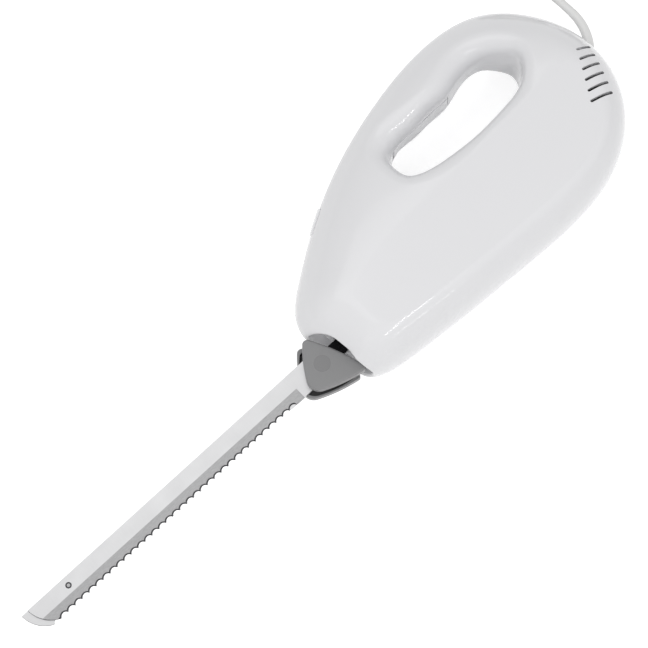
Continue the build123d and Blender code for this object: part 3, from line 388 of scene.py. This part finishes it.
def bright_steel():
    """Turned free-cutting steel: bright, with fine turning lines."""
    return brushed_metal(
        "bright_steel", to_linear("#C9C9CB"), roughness=0.26, stretch=(1, 12, 12)
    )


def spring_steel():
    """Rolled spring strip: greyer, with rolling lines along it."""
    return brushed_metal(
        "spring_steel", to_linear("#AEB0B3"), roughness=0.32, stretch=(20, 1, 1)
    )


def acetal():
    """Natural acetal: waxy off-white, with a satin skin."""
    return moulded_plastic(
        "acetal", to_linear("#E7E4DA"), roughness=0.38, peel=4 * MM, texture=0.4 * MM,
        texture_depth=0.004 * MM, mottle=0.02,
    )


def sintered_bronze():
    """Oil-filled sintered bronze: brown gold, matt and open-pored."""
    return brushed_metal(
        "sintered_bronze", to_linear("#B98F55"), roughness=0.48, stretch=(1, 1, 1),
        line=0.3 * MM, depth=0.01 * MM, mottle=0.12,
    )


def zinc_sheet():
    """Electroplated sheet steel: bluish, with a cloudy lustre."""
    return brushed_metal(
        "zinc_sheet", to_linear("#C2C6CA"), roughness=0.36, stretch=(6, 6, 1), line=2 * MM,
        depth=0.004 * MM, mottle=0.08,
    )


def lamination_stack():
    """Varnished electrical sheet, stacked along the shaft: dark, striped coarser than the sheets to show."""
    material, tree = new_material("lamination_stack")
    place = add_node(tree, "ShaderNodeTexCoord")
    options = {"wave_type": "BANDS", "bands_direction": "X", "wave_profile": "SAW"}
    stripe = 1 * MM
    inputs = {"Vector": place.outputs["Object"], "Scale": math.tau / (WAVE_RADIANS * stripe)}
    sheets = add_node(tree, "ShaderNodeTexWave", options, **inputs).outputs["Fac"]
    tone = mixed(tree, sheets, to_linear("#3C3D40"), to_linear("#6A6B6F"))
    surface = {"Base Color": tone, "Normal": bumped(tree, sheets, depth=0.05 * MM)}
    return finish_with(material, tree, surface, Metallic=0.6, Roughness=0.45)


def wound_copper(name, code, roughness):
    """Copper wire or bars: fine ridges round the winding."""
    material, tree = new_material(name)
    strands = grain(tree, size=0.5 * MM, stretch=(14, 1, 1), detail=1.0)
    colour = to_linear(code)
    tone = mixed(tree, strands, shade(colour, factor=0.7), shade(colour, factor=1.15))
    surface = {"Base Color": tone, "Normal": bumped(tree, strands, depth=0.12 * MM)}
    return finish_with(material, tree, surface, Metallic=1.0, Roughness=roughness)


def enamelled_copper():
    """Enamelled winding wire: red brown and glossy."""
    return wound_copper("enamelled_copper", "#B4623A", roughness=0.28)


def commutator_copper():
    """Hard-drawn copper bars, turned: pinker and burnished by the brushes."""
    return wound_copper("commutator_copper", "#C98463", roughness=0.34)


def pressed_carbon():
    """Pressed carbon: near black, matt and grainy."""
    return moulded_plastic(
        "pressed_carbon", to_linear("#26262A"), roughness=0.62, peel=2 * MM, texture=0.2 * MM,
        texture_depth=0.01 * MM, mottle=0.1,
    )


def black_nylon():
    """Glass-filled nylon: black, satin and slightly rough."""
    return moulded_plastic(
        "black_nylon", to_linear("#232326"), roughness=0.48, peel=4 * MM, texture=0.35 * MM,
        texture_depth=0.01 * MM, mottle=0.08,
    )


def potted_film():
    """A film capacitor's polyester box: yellow and glossy."""
    return moulded_plastic(
        "potted_film", to_linear("#D9A62E"), roughness=0.3, peel=6 * MM, texture=0.5 * MM,
        texture_depth=0.003 * MM, mottle=0.03,
    )


def white_pvc():
    """Extruded and moulded flexible PVC: white with a soft sheen."""
    return moulded_plastic(
        "white_pvc", settings("finish").sheath, roughness=0.4, peel=5 * MM, texture=0.6 * MM,
        texture_depth=0.004 * MM, mottle=0.02,
    )


def tie_nylon():
    """Natural nylon strap: milky and smooth."""
    return moulded_plastic(
        "tie_nylon", to_linear("#DAD9D2"), roughness=0.35, peel=4 * MM, texture=0.4 * MM,
        texture_depth=0.004 * MM, mottle=0.02,
    )


def nickel_plate():
    """Bright nickel on brass pins: mirror-like with a warm tint."""
    return brushed_metal(
        "nickel_plate", to_linear("#D6D2C8"), roughness=0.14, stretch=(1, 8, 1), line=0.2 * MM,
        depth=0.001 * MM, mottle=0.02,
    )


FINISHES = {
    "white_plastic": white_abs,
    "grey_plastic": grey_abs,
    "blade_steel": ground_stainless,
    "bright_steel": bright_steel,
    "spring_steel": spring_steel,
    "acetal": acetal,
    "bronze": sintered_bronze,
    "zinc_sheet": zinc_sheet,
    "lamination": lamination_stack,
    "copper": enamelled_copper,
    "commutator_copper": commutator_copper,
    "carbon": pressed_carbon,
    "black_plastic": black_nylon,
    "yellow_film": potted_film,
    "white_cord": white_pvc,
    "tie_plastic": tie_nylon,
    "plated_pin": nickel_plate,
}


def ready(maker):
    """A material, made once."""
    return bpy.data.materials.get(maker.__name__) or maker()


def finish_of(slot):
    """The material for a slot."""
    return ready(FINISHES[slot])


def coat(thing, material):
    """Give a piece one material all over."""
    if not thing.data.materials:
        thing.data.materials.append(material)
    for place in thing.material_slots:
        place.link = "OBJECT"
        place.material = material


def coat_nodes(names):
    """Give CAD nodes the finish of their slots."""
    for name in names:
        coat(NODES[name], finish_of(SLOTS[name]))


def piece_from(shape, name, body, slot):
    """A piece from a bmesh, riding on its body with its finish."""
    mesh = bpy.data.meshes.new(name)
    shape.to_mesh(mesh)
    shape.free()
    thing = bpy.data.objects.new(name, mesh)
    bpy.context.scene.collection.objects.link(thing)
    coat(thing, finish_of(slot))
    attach(thing, body)
    return thing


def welded(node):
    """A CAD node's mesh with its triangles joined."""
    shape = bmesh.new()
    shape.from_mesh(NODES[node].data)
    bmesh.ops.remove_doubles(shape, verts=shape.verts, dist=WELD)
    return shape


def bends_over(edge, angle):
    """Whether an edge joins two faces that turn by more than the angle."""
    return edge.is_manifold and edge.calc_face_angle(0.0) > angle


def bends_under(edge, angle):
    """Whether an edge joins two faces that turn by less than the angle."""
    return edge.is_manifold and edge.calc_face_angle(0.0) < angle


def eased(shape, edges, offset, segments=1):
    """Bevel these edges: flat with one segment, rounded with more."""
    bmesh.ops.bevel(
        shape, geom=edges, offset=offset, offset_type="OFFSET", segments=segments, profile=0.5,
        affect="EDGES", clamp_overlap=True, material=-1,
    )


def cut_across(shape, x):
    """Cut new edges across the shape at a place along the knife."""
    whole = shape.verts[:] + shape.edges[:] + shape.faces[:]
    bmesh.ops.bisect_plane(shape, geom=whole, plane_co=(x, 0, 0), plane_no=(1, 0, 0), dist=WELD)


def smoothed(shape, crease):
    """Smooth shading, but for edges that turn by more than the crease."""
    for face in shape.faces:
        face.smooth = True
    for edge in shape.edges:
        edge.smooth = bends_under(edge, crease)
    return shape


def dressed(node, name, crease=CREASE, shape=None):
    """A smooth copy that stands for a CAD node, or the reshaped copy that is handed in."""
    shape = smoothed(shape or welded(node), crease)
    thing = piece_from(shape, name, NODES[node]["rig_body"], SLOTS[node])
    keeper = thing.modifiers.new("even_normals", "WEIGHTED_NORMAL")
    keeper.keep_sharp = True
    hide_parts(node)
    return thing


def flattened(node):
    """A joined copy whose flat faces are one face each."""
    shape = welded(node)
    edges = shape.edges[:]
    bmesh.ops.dissolve_limit(shape, angle_limit=LEVEL, verts=shape.verts[:], edges=edges)
    shape.normal_update()
    return shape


def swelled(shape):
    """The shape moved sideways by the swells round the hand opening."""
    for vert in shape.verts:
        move = Vector()
        for middle, reach, shift in SWELLS:
            far = sum(((vert.co[axis] / MM - middle[axis]) / reach[axis]) ** 2 for axis in (0, 1))
            move += Vector((*shift, 0)) * math.exp(-far) * MM
        vert.co += move
    shape.normal_update()
    return shape


def matrix_from(right, up, back, place):
    """A transform from three directions and a place."""
    columns = zip(right, up, back, place)
    return Matrix([*columns, (0, 0, 0, 1)])


class KNIFE_OT_stage(bpy.types.Operator):
    """The pale floor, the studio light and the camera"""
    bl_idname = "knife.stage"
    bl_label = "Stage"

    # The floor lies this far under the knife and reaches far past the picture's edges
    FLOOR_GAP = 0.05 * MM
    FLOOR_SIZE = 6

    # The world's strength as light on the knife and as it is seen, and the floor's glow as it is seen
    WORLD_LIT = 0.62
    WORLD_SEEN = 1.0
    FLOOR_SEEN = 0.6

    # What the camera and the lamps look at
    MIDDLE = Vector((3.81, -13.45, 0)) * MM

    # Name, place along the camera's right, up and back, width and height in metres, lean and watts.
    # The strips are what the glossy shells mirror, and the soft ones leave no reflection.
    LAMPS = (
        ("key_light", (-0.55, 0.75, 1.1), (1.0, 1.0), 0.0, 2.5),
        ("fill_light", (0.9, 0.1, 1.0), (1.4, 1.4), 0.0, 0.6),
        ("front_soft", (-0.12, 0.05, 1.25), (0.5, 0.5), 0.0, 0.9),
        ("low_soft", (-0.45, -0.8, 0.8), (1.2, 0.8), 0.0, 1.1),
        ("near_strip", (0.28, -0.25, 1.1), (0.01, 0.7), -0.25, 2.0),
        ("low_strip", (0.66, -0.66, 0.55), (0.015, 0.4), -0.6, 0.4),
    )

    def execute(self, context):
        scene = context.scene
        scene.view_settings.view_transform = "Standard"
        self.world(scene)
        self.floor(scene)
        back, right, up, middle = self.axes()
        self.camera(scene, back, right, up, middle)
        for name, offsets, sizes, lean, power in self.LAMPS:
            self.lamp(scene, name, middle, offsets, (back, right, up), sizes, lean, power)
        return {"FINISHED"}

    def axes(self):
        """The camera's directions and the middle of its view."""
        camera = settings("camera")
        across = math.sin(camera.swing) * math.cos(camera.slope)
        above = math.cos(camera.swing) * math.cos(camera.slope)
        back = Vector((-across, -math.sin(camera.slope), above))
        level_right = (-back).cross(Vector((0, 1, 0))).normalized()
        level_up = level_right.cross(-back)
        turn = camera.roll
        right = level_right * math.cos(turn) - level_up * math.sin(turn)
        up = level_right * math.sin(turn) + level_up * math.cos(turn)
        return back, right, up, self.MIDDLE

    def camera(self, scene, back, right, up, middle):
        """A camera at the photograph's viewing angle."""
        sizes = settings("camera")
        data = bpy.data.cameras.new("camera")
        data.lens = sizes.lens
        data.sensor_width = 36
        data.clip_start = 0.05
        data.clip_end = 20
        thing = bpy.data.objects.new("camera", data)
        thing.matrix_world = matrix_from(right, up, back, middle + back * sizes.distance)
        scene.collection.objects.link(thing)
        scene.camera = thing

    def lamp(self, scene, name, middle, offsets, directions, sizes, lean, power):
        """A soft box that looks at the knife."""
        back, right, up = directions
        data = bpy.data.lights.new(name, "AREA")
        data.shape = "RECTANGLE"
        data.size, data.size_y = sizes
        data.energy = power
        place = middle + right * offsets[0] + up * offsets[1] + back * offsets[2]
        away = (place - middle).normalized()
        side = Matrix.Rotation(lean, 3, away) @ up.cross(away).normalized()
        thing = bpy.data.objects.new(name, data)
        thing.matrix_world = matrix_from(side, away.cross(side), away, place)
        thing.visible_camera = False
        thing.visible_glossy = not name.endswith("soft")
        scene.collection.objects.link(thing)

    def seen_directly(self, tree):
        """One for camera, glossy and transmission rays, else zero."""
        path = add_node(tree, "ShaderNodeLightPath")
        seen = path.outputs["Is Camera Ray"]
        options = {"operation": "ADD", "use_clamp": True}
        for name in ("Is Glossy Ray", "Is Transmission Ray"):
            inputs = {"i0": seen, "i1": path.outputs[name]}
            seen = add_node(tree, "ShaderNodeMath", options, **inputs).outputs[0]
        return seen

    def world(self, scene):
        """Even studio light that shows as white."""
        world = bpy.data.worlds.new("studio")
        world.use_nodes = True
        tree = world.node_tree
        tree.nodes.clear()
        strength = spread(tree, self.seen_directly(tree), self.WORLD_LIT, self.WORLD_SEEN)
        light = add_node(tree, "ShaderNodeBackground", Color=(1, 1, 1, 1), Strength=strength)
        add_node(tree, "ShaderNodeOutputWorld", Surface=light.outputs["Background"])
        scene.world = world

    def floor(self, scene):
        """A wide pale floor under the knife, white to the eye except in the shadow."""
        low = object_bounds()[0].z - self.FLOOR_GAP
        shape = bmesh.new()
        bmesh.ops.create_grid(shape, x_segments=1, y_segments=1, size=self.FLOOR_SIZE)
        bmesh.ops.translate(shape, verts=shape.verts, vec=(0, 0, low))
        mesh = bpy.data.meshes.new("floor")
        shape.to_mesh(mesh)
        shape.free()
        thing = bpy.data.objects.new("floor", mesh)
        scene.collection.objects.link(thing)
        material, tree = new_material("pale_floor")
        matt = add_node(tree, "ShaderNodeBsdfDiffuse", Color=to_linear("#E6E6E6", 1))
        strength = spread(tree, self.seen_directly(tree), 0.0, self.FLOOR_SEEN)
        glow = add_node(tree, "ShaderNodeEmission", Color=(1, 1, 1, 1), Strength=strength)
        both = add_node(tree, "ShaderNodeAddShader", i0=matt.outputs[0], i1=glow.outputs[0])
        add_node(tree, "ShaderNodeOutputMaterial", Surface=both.outputs[0])
        mesh.materials.append(material)
        thing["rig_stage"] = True


class KNIFE_OT_housing(bpy.types.Operator):
    """The two glossy white shells"""
    bl_idname = "knife.housing"
    bl_label = "Housing"

    # How far the parting edge is eased, and how long and how sharp it has to be for that
    EASE = 0.15 * MM
    SHORTEST = 0.5 * MM
    PARTING_ANGLE = math.radians(60)

    def execute(self, context):
        for side in ("left", "right"):
            shape = swelled(self.seamed(f"housing_{side}"))
            dressed(f"housing_{side}", f"shell_{side}", MOULDED_CREASE, shape)
        return {"FINISHED"}

    def seamed(self, node):
        """The half shell with its parting edge eased, so that a fine line shows where the halves meet."""
        shape = welded(node)
        seam = [
            edge for edge in shape.edges
            if all(abs(vert.co.z) < WELD for vert in edge.verts) and edge.calc_length() > self.SHORTEST
            and bends_over(edge, self.PARTING_ANGLE)
        ]
        eased(shape, seam, self.EASE)
        return shape


class KNIFE_OT_guards(bpy.types.Operator):
    """The grey guards moulded on the blades"""
    bl_idname = "knife.guards"
    bl_label = "Guards"

    # The boss's height in the CAD solid and here, and how much it shrinks sideways
    BOSS_STEP = 0.5 * MM
    BOSS_RISE = 0.3 * MM
    BOSS_SHRINK = 0.85

    # Inner walls move outwards by this, but for those this near the middle of the boss
    THINNING = 0.9 * MM
    BOSS_CLEAR = 6.2 * MM

    # How far edges are rounded that bend by more than this
    ROUNDING = 0.25 * MM
    SHARP = math.radians(40)

    # The painted shade starts this far behind the rim
    HOLLOW_DEPTH = 1.0 * MM

    # Places of the hollow's painted shade and the boss's painted reflection in the cover's list of materials
    HOLLOW = 1
    BOSS = 2

    # The share of a normal that points along Z: under the first on a wall, over the second on a floor
    WALL_SLOPE = 0.2
    FLOOR_SLOPE = 0.5

    def execute(self, context):
        for side in ("left", "right"):
            shape = self.cover(f"guard_{side}")
            thing = dressed(f"guard_{side}", f"guard_cover_{side}", MOULDED_CREASE, shape)
            for maker in (hollow_painted_shade_abs, glossy_grey_painted_reflection_abs):
                thing.data.materials.append(ready(maker))
        return {"FINISHED"}

    def cover(self, node):
        """The guard with its wall drawn thin, its boss eased to a soft swelling, its hollow and boss marked
        for painted shade and painted reflection, and its edges rounded.
        """
        shape = flattened(node)
        low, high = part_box(node)
        top = max(abs(low[2]), abs(high[2]))
        boss = [vert for vert in shape.verts if abs(vert.co.z) > top - self.BOSS_STEP / 2]
        axis = sum((vert.co for vert in boss), Vector()) / len(boss)
        middle = sum((vert.co for vert in shape.verts), Vector()) / len(shape.verts)
        moves = {}
        for vert in shape.verts:
            walls = [face.normal for face in vert.link_faces if abs(face.normal.z) < self.WALL_SLOPE]
            inward = [normal for normal in walls if normal.dot(middle - vert.co) > 0]
            if inward and (vert.co - axis).to_2d().length > self.BOSS_CLEAR:
                moves[vert] = sum(inward, Vector()).normalized() * -self.THINNING
        for vert, move in moves.items():
            vert.co += move
        for vert in boss:
            along = (vert.co - axis) * self.BOSS_SHRINK
            vert.co = axis + along
            vert.co.z = math.copysign(top - self.BOSS_STEP + self.BOSS_RISE, axis.z)
        shape.normal_update()
        # Faces deep in the hollow get the painted shade, and the boss's top the painted reflection
        rim = min(abs(low[2]), abs(high[2])) + self.HOLLOW_DEPTH
        for face in shape.faces:
            centre = face.calc_center_median()
            outward = face.normal.z * math.copysign(1, axis.z)
            inner_wall = face.normal.dot(middle - centre) > 0 and outward < self.WALL_SLOPE
            if all(vert in boss for vert in face.verts):
                face.material_index = self.BOSS
            elif abs(centre.z) > rim and (outward < -self.FLOOR_SLOPE or inner_wall):
                face.material_index = self.HOLLOW
        sharp = [edge for edge in shape.edges if bends_over(edge, self.SHARP)]
        eased(shape, sharp, self.ROUNDING, segments=2)
        return shape


class KNIFE_OT_blades(bpy.types.Operator):
    """The ground blades and their rivet"""
    bl_idname = "knife.blades"
    bl_label = "Blades"

    # How far the tip's edges are broken
    ARRIS = 0.5 * MM

    # Places of the finishes in a blade's list of materials: the ground face's, the scallops' and the tangs'
    # carry painted reflection and painted shade
    FLAT = 0
    GROUND = 1
    SCALLOPED = 2
    TANG = 3

    # How far the flat and the ground faces lean at most, and how sharply the tip's edges bend at least
    FLAT_LEAN = math.radians(2)
    GROUND_LEAN = math.radians(12)
    TIP_ANGLE = math.radians(50)

    # The share of a normal that points forward on the tip's end, for the arris and for its painted shade,
    # and the share that points along Z on a side of the blade
    FORWARD = 0.5
    FORWARD_FINISH = 0.3
    SIDEWAYS = 0.9

    # The ring round the rivet's end is this smooth and this finely turned
    SEAT_CREASE = math.radians(50)
    SEAT_STEPS = 32

    # Radius and height in millimetres of the ring round the rivet's end
    SEAT = ((0.95, 0.02), (1.05, 0.14), (1.45, 0.14), (1.75, 0.02), (1.75, -0.1), (0.95, -0.1), (0.95, 0.02))

    def execute(self, context):
        for side in ("left", "right"):
            self.blade(f"blade_{side}", f"ground_blade_{side}")
        self.rivet()
        return {"FINISHED"}

    def rivet(self):
        """The rivet, its end set over in a ring where it was hammered; the ring's dark grey is painted shade,
        and the rivet's darker steel painted reflection.
        """
        # Painted reflection: the rivet's end takes the ground face's darker steel
        coat(dressed("blade_rivet", "tip_rivet"), ready(wheel_ground_painted_reflection))
        low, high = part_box("blade_rivet")
        middle = Vector(((low[0] + high[0]) / 2, (low[1] + high[1]) / 2, high[2]))
        shape = bmesh.new()
        line = [shape.verts.new(middle + Vector((radius, 0, height)) * MM) for radius, height in self.SEAT]
        edges = [shape.edges.new(pair) for pair in zip(line, line[1:])]
        bmesh.ops.spin(
            shape, geom=line + edges, cent=middle, axis=(0, 0, 1), angle=math.tau,
            steps=self.SEAT_STEPS, use_merge=True,
        )
        bmesh.ops.recalc_face_normals(shape, faces=shape.faces)
        smoothed(shape, self.SEAT_CREASE)
        thing = piece_from(shape, "rivet_seat", "blade_left_body", "bright_steel")
        # Painted shade: the ring round the rivet takes the scallops' dark steel
        coat(thing, ready(scallop_painted_reflection_and_shade))

    def blade(self, node, name):
        """A copy of the blade with deeper scallops, each with a ground rim."""
        sizes = settings("blade")
        shape = flattened(node)
        low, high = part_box(node)
        first = low[0] + sizes.toe
        cut_end = first + sizes.cut * sizes.pitch
        end = cut_end + sizes.added * sizes.pitch
        step = sizes.pitch / sizes.steps
        for index in range(1, sizes.added * sizes.steps + 1):
            cut_across(shape, cut_end + index * step)
        tang = high[0] - sizes.tang
        cut_across(shape, tang)
        self.scallop(shape, low[1], max(abs(low[2]), abs(high[2])), first, end)
        self.tip_arris(shape, first)
        self.finishes(shape, first, end, low[1] + sizes.grind / 2, tang)
        thing = piece_from(shape, name, NODES[node]["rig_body"], SLOTS[node])
        for maker in (wheel_ground_painted_reflection, scallop_painted_reflection_and_shade, tang_painted_shade):
            thing.data.materials.append(ready(maker))
        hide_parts(node)

    def scallop(self, shape, edge_height, surface, first, end):
        """Move the edge's vertices to the scallops and their ground rims."""
        sizes = settings("blade")
        for vert in shape.verts:
            x, y, z = vert.co
            if first - WELD < x < end + WELD and y < edge_height + sizes.depth:
                offset = (x - first) % sizes.pitch - sizes.pitch / 2
                outside = abs(z) > surface / 4
                y = edge_height + self.scallop_height(offset, sizes.rim if outside else 0)
                vert.co.y = y
                if outside:
                    share = 1 - (y - edge_height) / sizes.grind
                    vert.co.z = math.copysign(surface - sizes.thin * share, z)

    def tip_arris(self, shape, first):
        """Break the tip's edges; the arris takes the scallops' dark steel, a fine line of painted shade."""
        shape.normal_update()
        tip = [
            edge for edge in shape.edges
            if bends_over(edge, self.TIP_ANGLE)
            and max(vert.co.x for vert in edge.verts) < first
            and sum(face.normal.x < -self.FORWARD for face in edge.link_faces) == 1
            and max(abs(face.normal.z) for face in edge.link_faces) > self.SIDEWAYS
        ]
        eased(shape, tip, self.ARRIS)

    def scallop_height(self, offset, growth):
        """A scallop's height over the points, at a distance from its middle."""
        sizes = settings("blade")
        radius = ((sizes.pitch / 2) ** 2 + sizes.depth ** 2) / (2 * sizes.depth)
        return sizes.depth - radius + math.sqrt((radius + growth) ** 2 - offset ** 2)

    def finishes(self, shape, first, end, top, tang):
        """Flat, ground and scalloped faces and the tangs, with painted reflection on the ground and scalloped
        faces, painted shade on the tip's end and the tangs, and a sharp edge wherever two finishes meet.
        """
        shape.normal_update()
        for face in shape.faces:
            face.smooth = True
            middle = face.calc_center_median()
            # The tangs take the painted shade
            if middle.x > tang:
                face.material_index = self.TANG
            # The tip's end takes the painted shade of the scallops' dark steel
            elif face.normal.x < -self.FORWARD_FINISH and middle.x < first:
                face.material_index = self.SCALLOPED
            elif abs(face.normal.z) > math.cos(self.FLAT_LEAN):
                face.material_index = self.FLAT
            # The ground face takes the painted reflection
            elif abs(face.normal.z) > math.cos(self.GROUND_LEAN):
                face.material_index = self.GROUND
            # The scallops take the painted reflection
            elif middle.y < top and middle.x < end:
                face.material_index = self.SCALLOPED
        for edge in shape.edges:
            kinds = {face.material_index for face in edge.link_faces}
            edge.smooth = bends_under(edge, CREASE) and len(kinds) == 1


class KNIFE_OT_controls(bpy.types.Operator):
    """The trigger, its switch and the release button"""
    bl_idname = "knife.controls"
    bl_label = "Controls"

    # The trigger is drawn in by all of this at the low height, and by nothing at the high one
    DRAW = 1.4 * MM
    LOW = 32.5 * MM
    HIGH = 37.0 * MM

    # How far the moving end of each leaf spring goes
    TRIGGER_TRAVEL = 1.47 * MM
    BUTTON_TRAVEL = 3 * MM

    def execute(self, context):
        dressed("trigger", "trigger_key", shape=swelled(self.drawn_in()))
        dressed("trigger_pin", "trigger_hinge", shape=swelled(welded("trigger_pin")))
        dressed("switch_plunger", "plunger_rod", shape=swelled(welded("switch_plunger")))
        dressed("release_button", "release_key")
        coat_nodes(["switch_body"])
        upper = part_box("trigger_spring")[1]
        self.leaf("trigger_spring", "trigger_leaf", "trigger_press", self.TRIGGER_TRAVEL, upper)
        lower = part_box("release_spring")[0]
        self.leaf("release_spring", "release_leaf", "release_press", self.BUTTON_TRAVEL, lower)
        return {"FINISHED"}

    def leaf(self, node, name, joint, travel, fixed):
        """A bent leaf spring as a smooth copy with a mesh of its own."""
        thing = dressed(node, name, shape=swelled(welded(node)))
        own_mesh(thing)

    def drawn_in(self):
        """The trigger with its underside drawn in, nearly flush with the grip's."""
        shape = welded("trigger")
        for vert in shape.verts:
            share = (self.HIGH - vert.co.y) / (self.HIGH - self.LOW)
            vert.co.y += self.DRAW * max(0.0, min(1.0, share))
        shape.normal_update()
        return shape


class KNIFE_OT_drive(bpy.types.Operator):
    """The worm drive, the sliders and the clips"""
    bl_idname = "knife.drive"
    bl_label = "Drive"

    def execute(self, context):
        coat_nodes(["worm", "drive_gear", "gear_axle", "shaft_tip_bush"])
        for side in ("left", "right"):
            coat_nodes([f"eccentric_{side}", f"driver_{side}", f"clip_{side}"])
        return {"FINISHED"}


class KNIFE_OT_motor(bpy.types.Operator):
    """The motor and what holds it"""
    bl_idname = "knife.motor"
    bl_label = "Motor"

    def execute(self, context):
        coat_nodes([
            "motor_shaft", "rotor_core", "rotor_windings", "commutator", "cooling_fan", "front_bush",
            "rear_bush", "front_bridge", "rear_bridge", "motor_screws", "motor_sleeves", "stator_core",
            "field_coil_upper", "field_coil_lower", "capacitor", "housing_screws",
        ])
        for side in ("left", "right"):
            coat_nodes([f"brush_{side}", f"brush_holder_{side}", f"brush_spring_{side}"])
        return {"FINISHED"}


class KNIFE_OT_cord(bpy.types.Operator):
    """The cord, its strain relief, its coil and its plug"""
    bl_idname = "knife.cord"
    bl_label = "Cord"

    def execute(self, context):
        sizes = settings("cord")
        relief = dressed("strain_relief", "relief_sleeve")
        plug = dressed("plug_body", "plug_moulding")
        pins = dressed("plug_pins", "plug_contacts")
        strap = dressed("cord_strap", "cord_tie")
        thing = self.sheath(context.scene, self.points(sizes), sizes.diameter / 2)
        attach(thing, "housing")
        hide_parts("cord", "cord_coil")
        return {"FINISHED"}

    def points(self, sizes):
        """The route's points and then the coil's, in metres."""
        found = [Vector(point) * MM for point in CORD_ROUTE]
        here = found[-1] + Vector((0, sizes.lead, 0))
        radii = [sizes.outer_radius - index * sizes.spacing / 2 for index in range(2 * sizes.turns)]
        climb = sizes.outer_radius - sizes.turns * sizes.spacing
        rises = [0.0] * len(radii) + [sizes.spacing] + [0.0] * len(radii)

        # Half turns wind inwards, one of them climbs a layer, and the rest wind outwards again
        way = 1
        step = math.pi / sizes.turn_steps
        for radius, rise in zip(radii + [climb] + radii[::-1], rises):
            reach = radius / math.cos(step / 2)
            for index in range(sizes.turn_steps):
                turn = (index + 0.5) * step
                lift = rise * (1 - math.cos(turn)) / 2
                along = way * (radius - reach * math.cos(turn))
                found.append(here + Vector((along, way * reach * math.sin(turn), lift)))
            here = here + Vector((2 * way * radius, 0, rise))
            way = -way
        found.append(here + Vector((0, way * sizes.tail / 2, 0)))
        found.append(here + Vector((0, way * sizes.tail, 0)))
        return found

    def sheath(self, scene, points, radius):
        """A round tube along one smooth spline."""
        curve = bpy.data.curves.new("cord_sheath", "CURVE")
        curve.dimensions = "3D"
        spline = curve.splines.new("NURBS")
        spline.points.add(len(points) - 1)
        for control, point in zip(spline.points, points):
            control.co = (*point, 1)
        spline.order_u = 3
        spline.use_endpoint_u = True
        curve.resolution_u = 8
        curve.bevel_depth = radius
        curve.bevel_resolution = 4
        curve.use_fill_caps = True
        thing = bpy.data.objects.new("cord_sheath", curve)
        scene.collection.objects.link(thing)
        coat(thing, finish_of("white_cord"))
        return thing


OPERATORS = (
    KNIFE_OT_stage, KNIFE_OT_cord, KNIFE_OT_housing, KNIFE_OT_guards, KNIFE_OT_blades, KNIFE_OT_controls,
    KNIFE_OT_drive, KNIFE_OT_motor,
)


class KNIFE_PT_panel(bpy.types.Panel):
    """The knife's operators and settings"""
    bl_idname = "KNIFE_PT_panel"
    bl_label = "Carving Knife"
    bl_space_type = "VIEW_3D"
    bl_region_type = "UI"
    bl_category = "Carving Knife"

    def draw(self, context):
        for operator in OPERATORS:
            self.layout.operator(operator.bl_idname)
        for group in GROUPS:
            box = self.layout.box()
            sizes = settings(group)
            for name in sizes.bl_rna.properties.keys():
                if name not in ("rna_type", "name"):
                    box.prop(sizes, name)


CLASSES = (*GROUPS.values(), *OPERATORS, KNIFE_PT_panel)


def register():
    for each in CLASSES:
        bpy.utils.register_class(each)
    for name, group in GROUPS.items():
        setattr(bpy.types.Scene, f"knife_{name}", PointerProperty(type=group))


def unregister():
    for name in GROUPS:
        delattr(bpy.types.Scene, f"knife_{name}")
    for each in reversed(CLASSES):
        bpy.utils.unregister_class(each)


def main():
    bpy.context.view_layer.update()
    register()
    bpy.ops.knife.stage()
    bpy.ops.knife.cord()
    bpy.ops.knife.housing()
    bpy.ops.knife.guards()
    bpy.ops.knife.blades()
    bpy.ops.knife.controls()
    bpy.ops.knife.drive()
    bpy.ops.knife.motor()


if __name__ == "__main__":
    main()
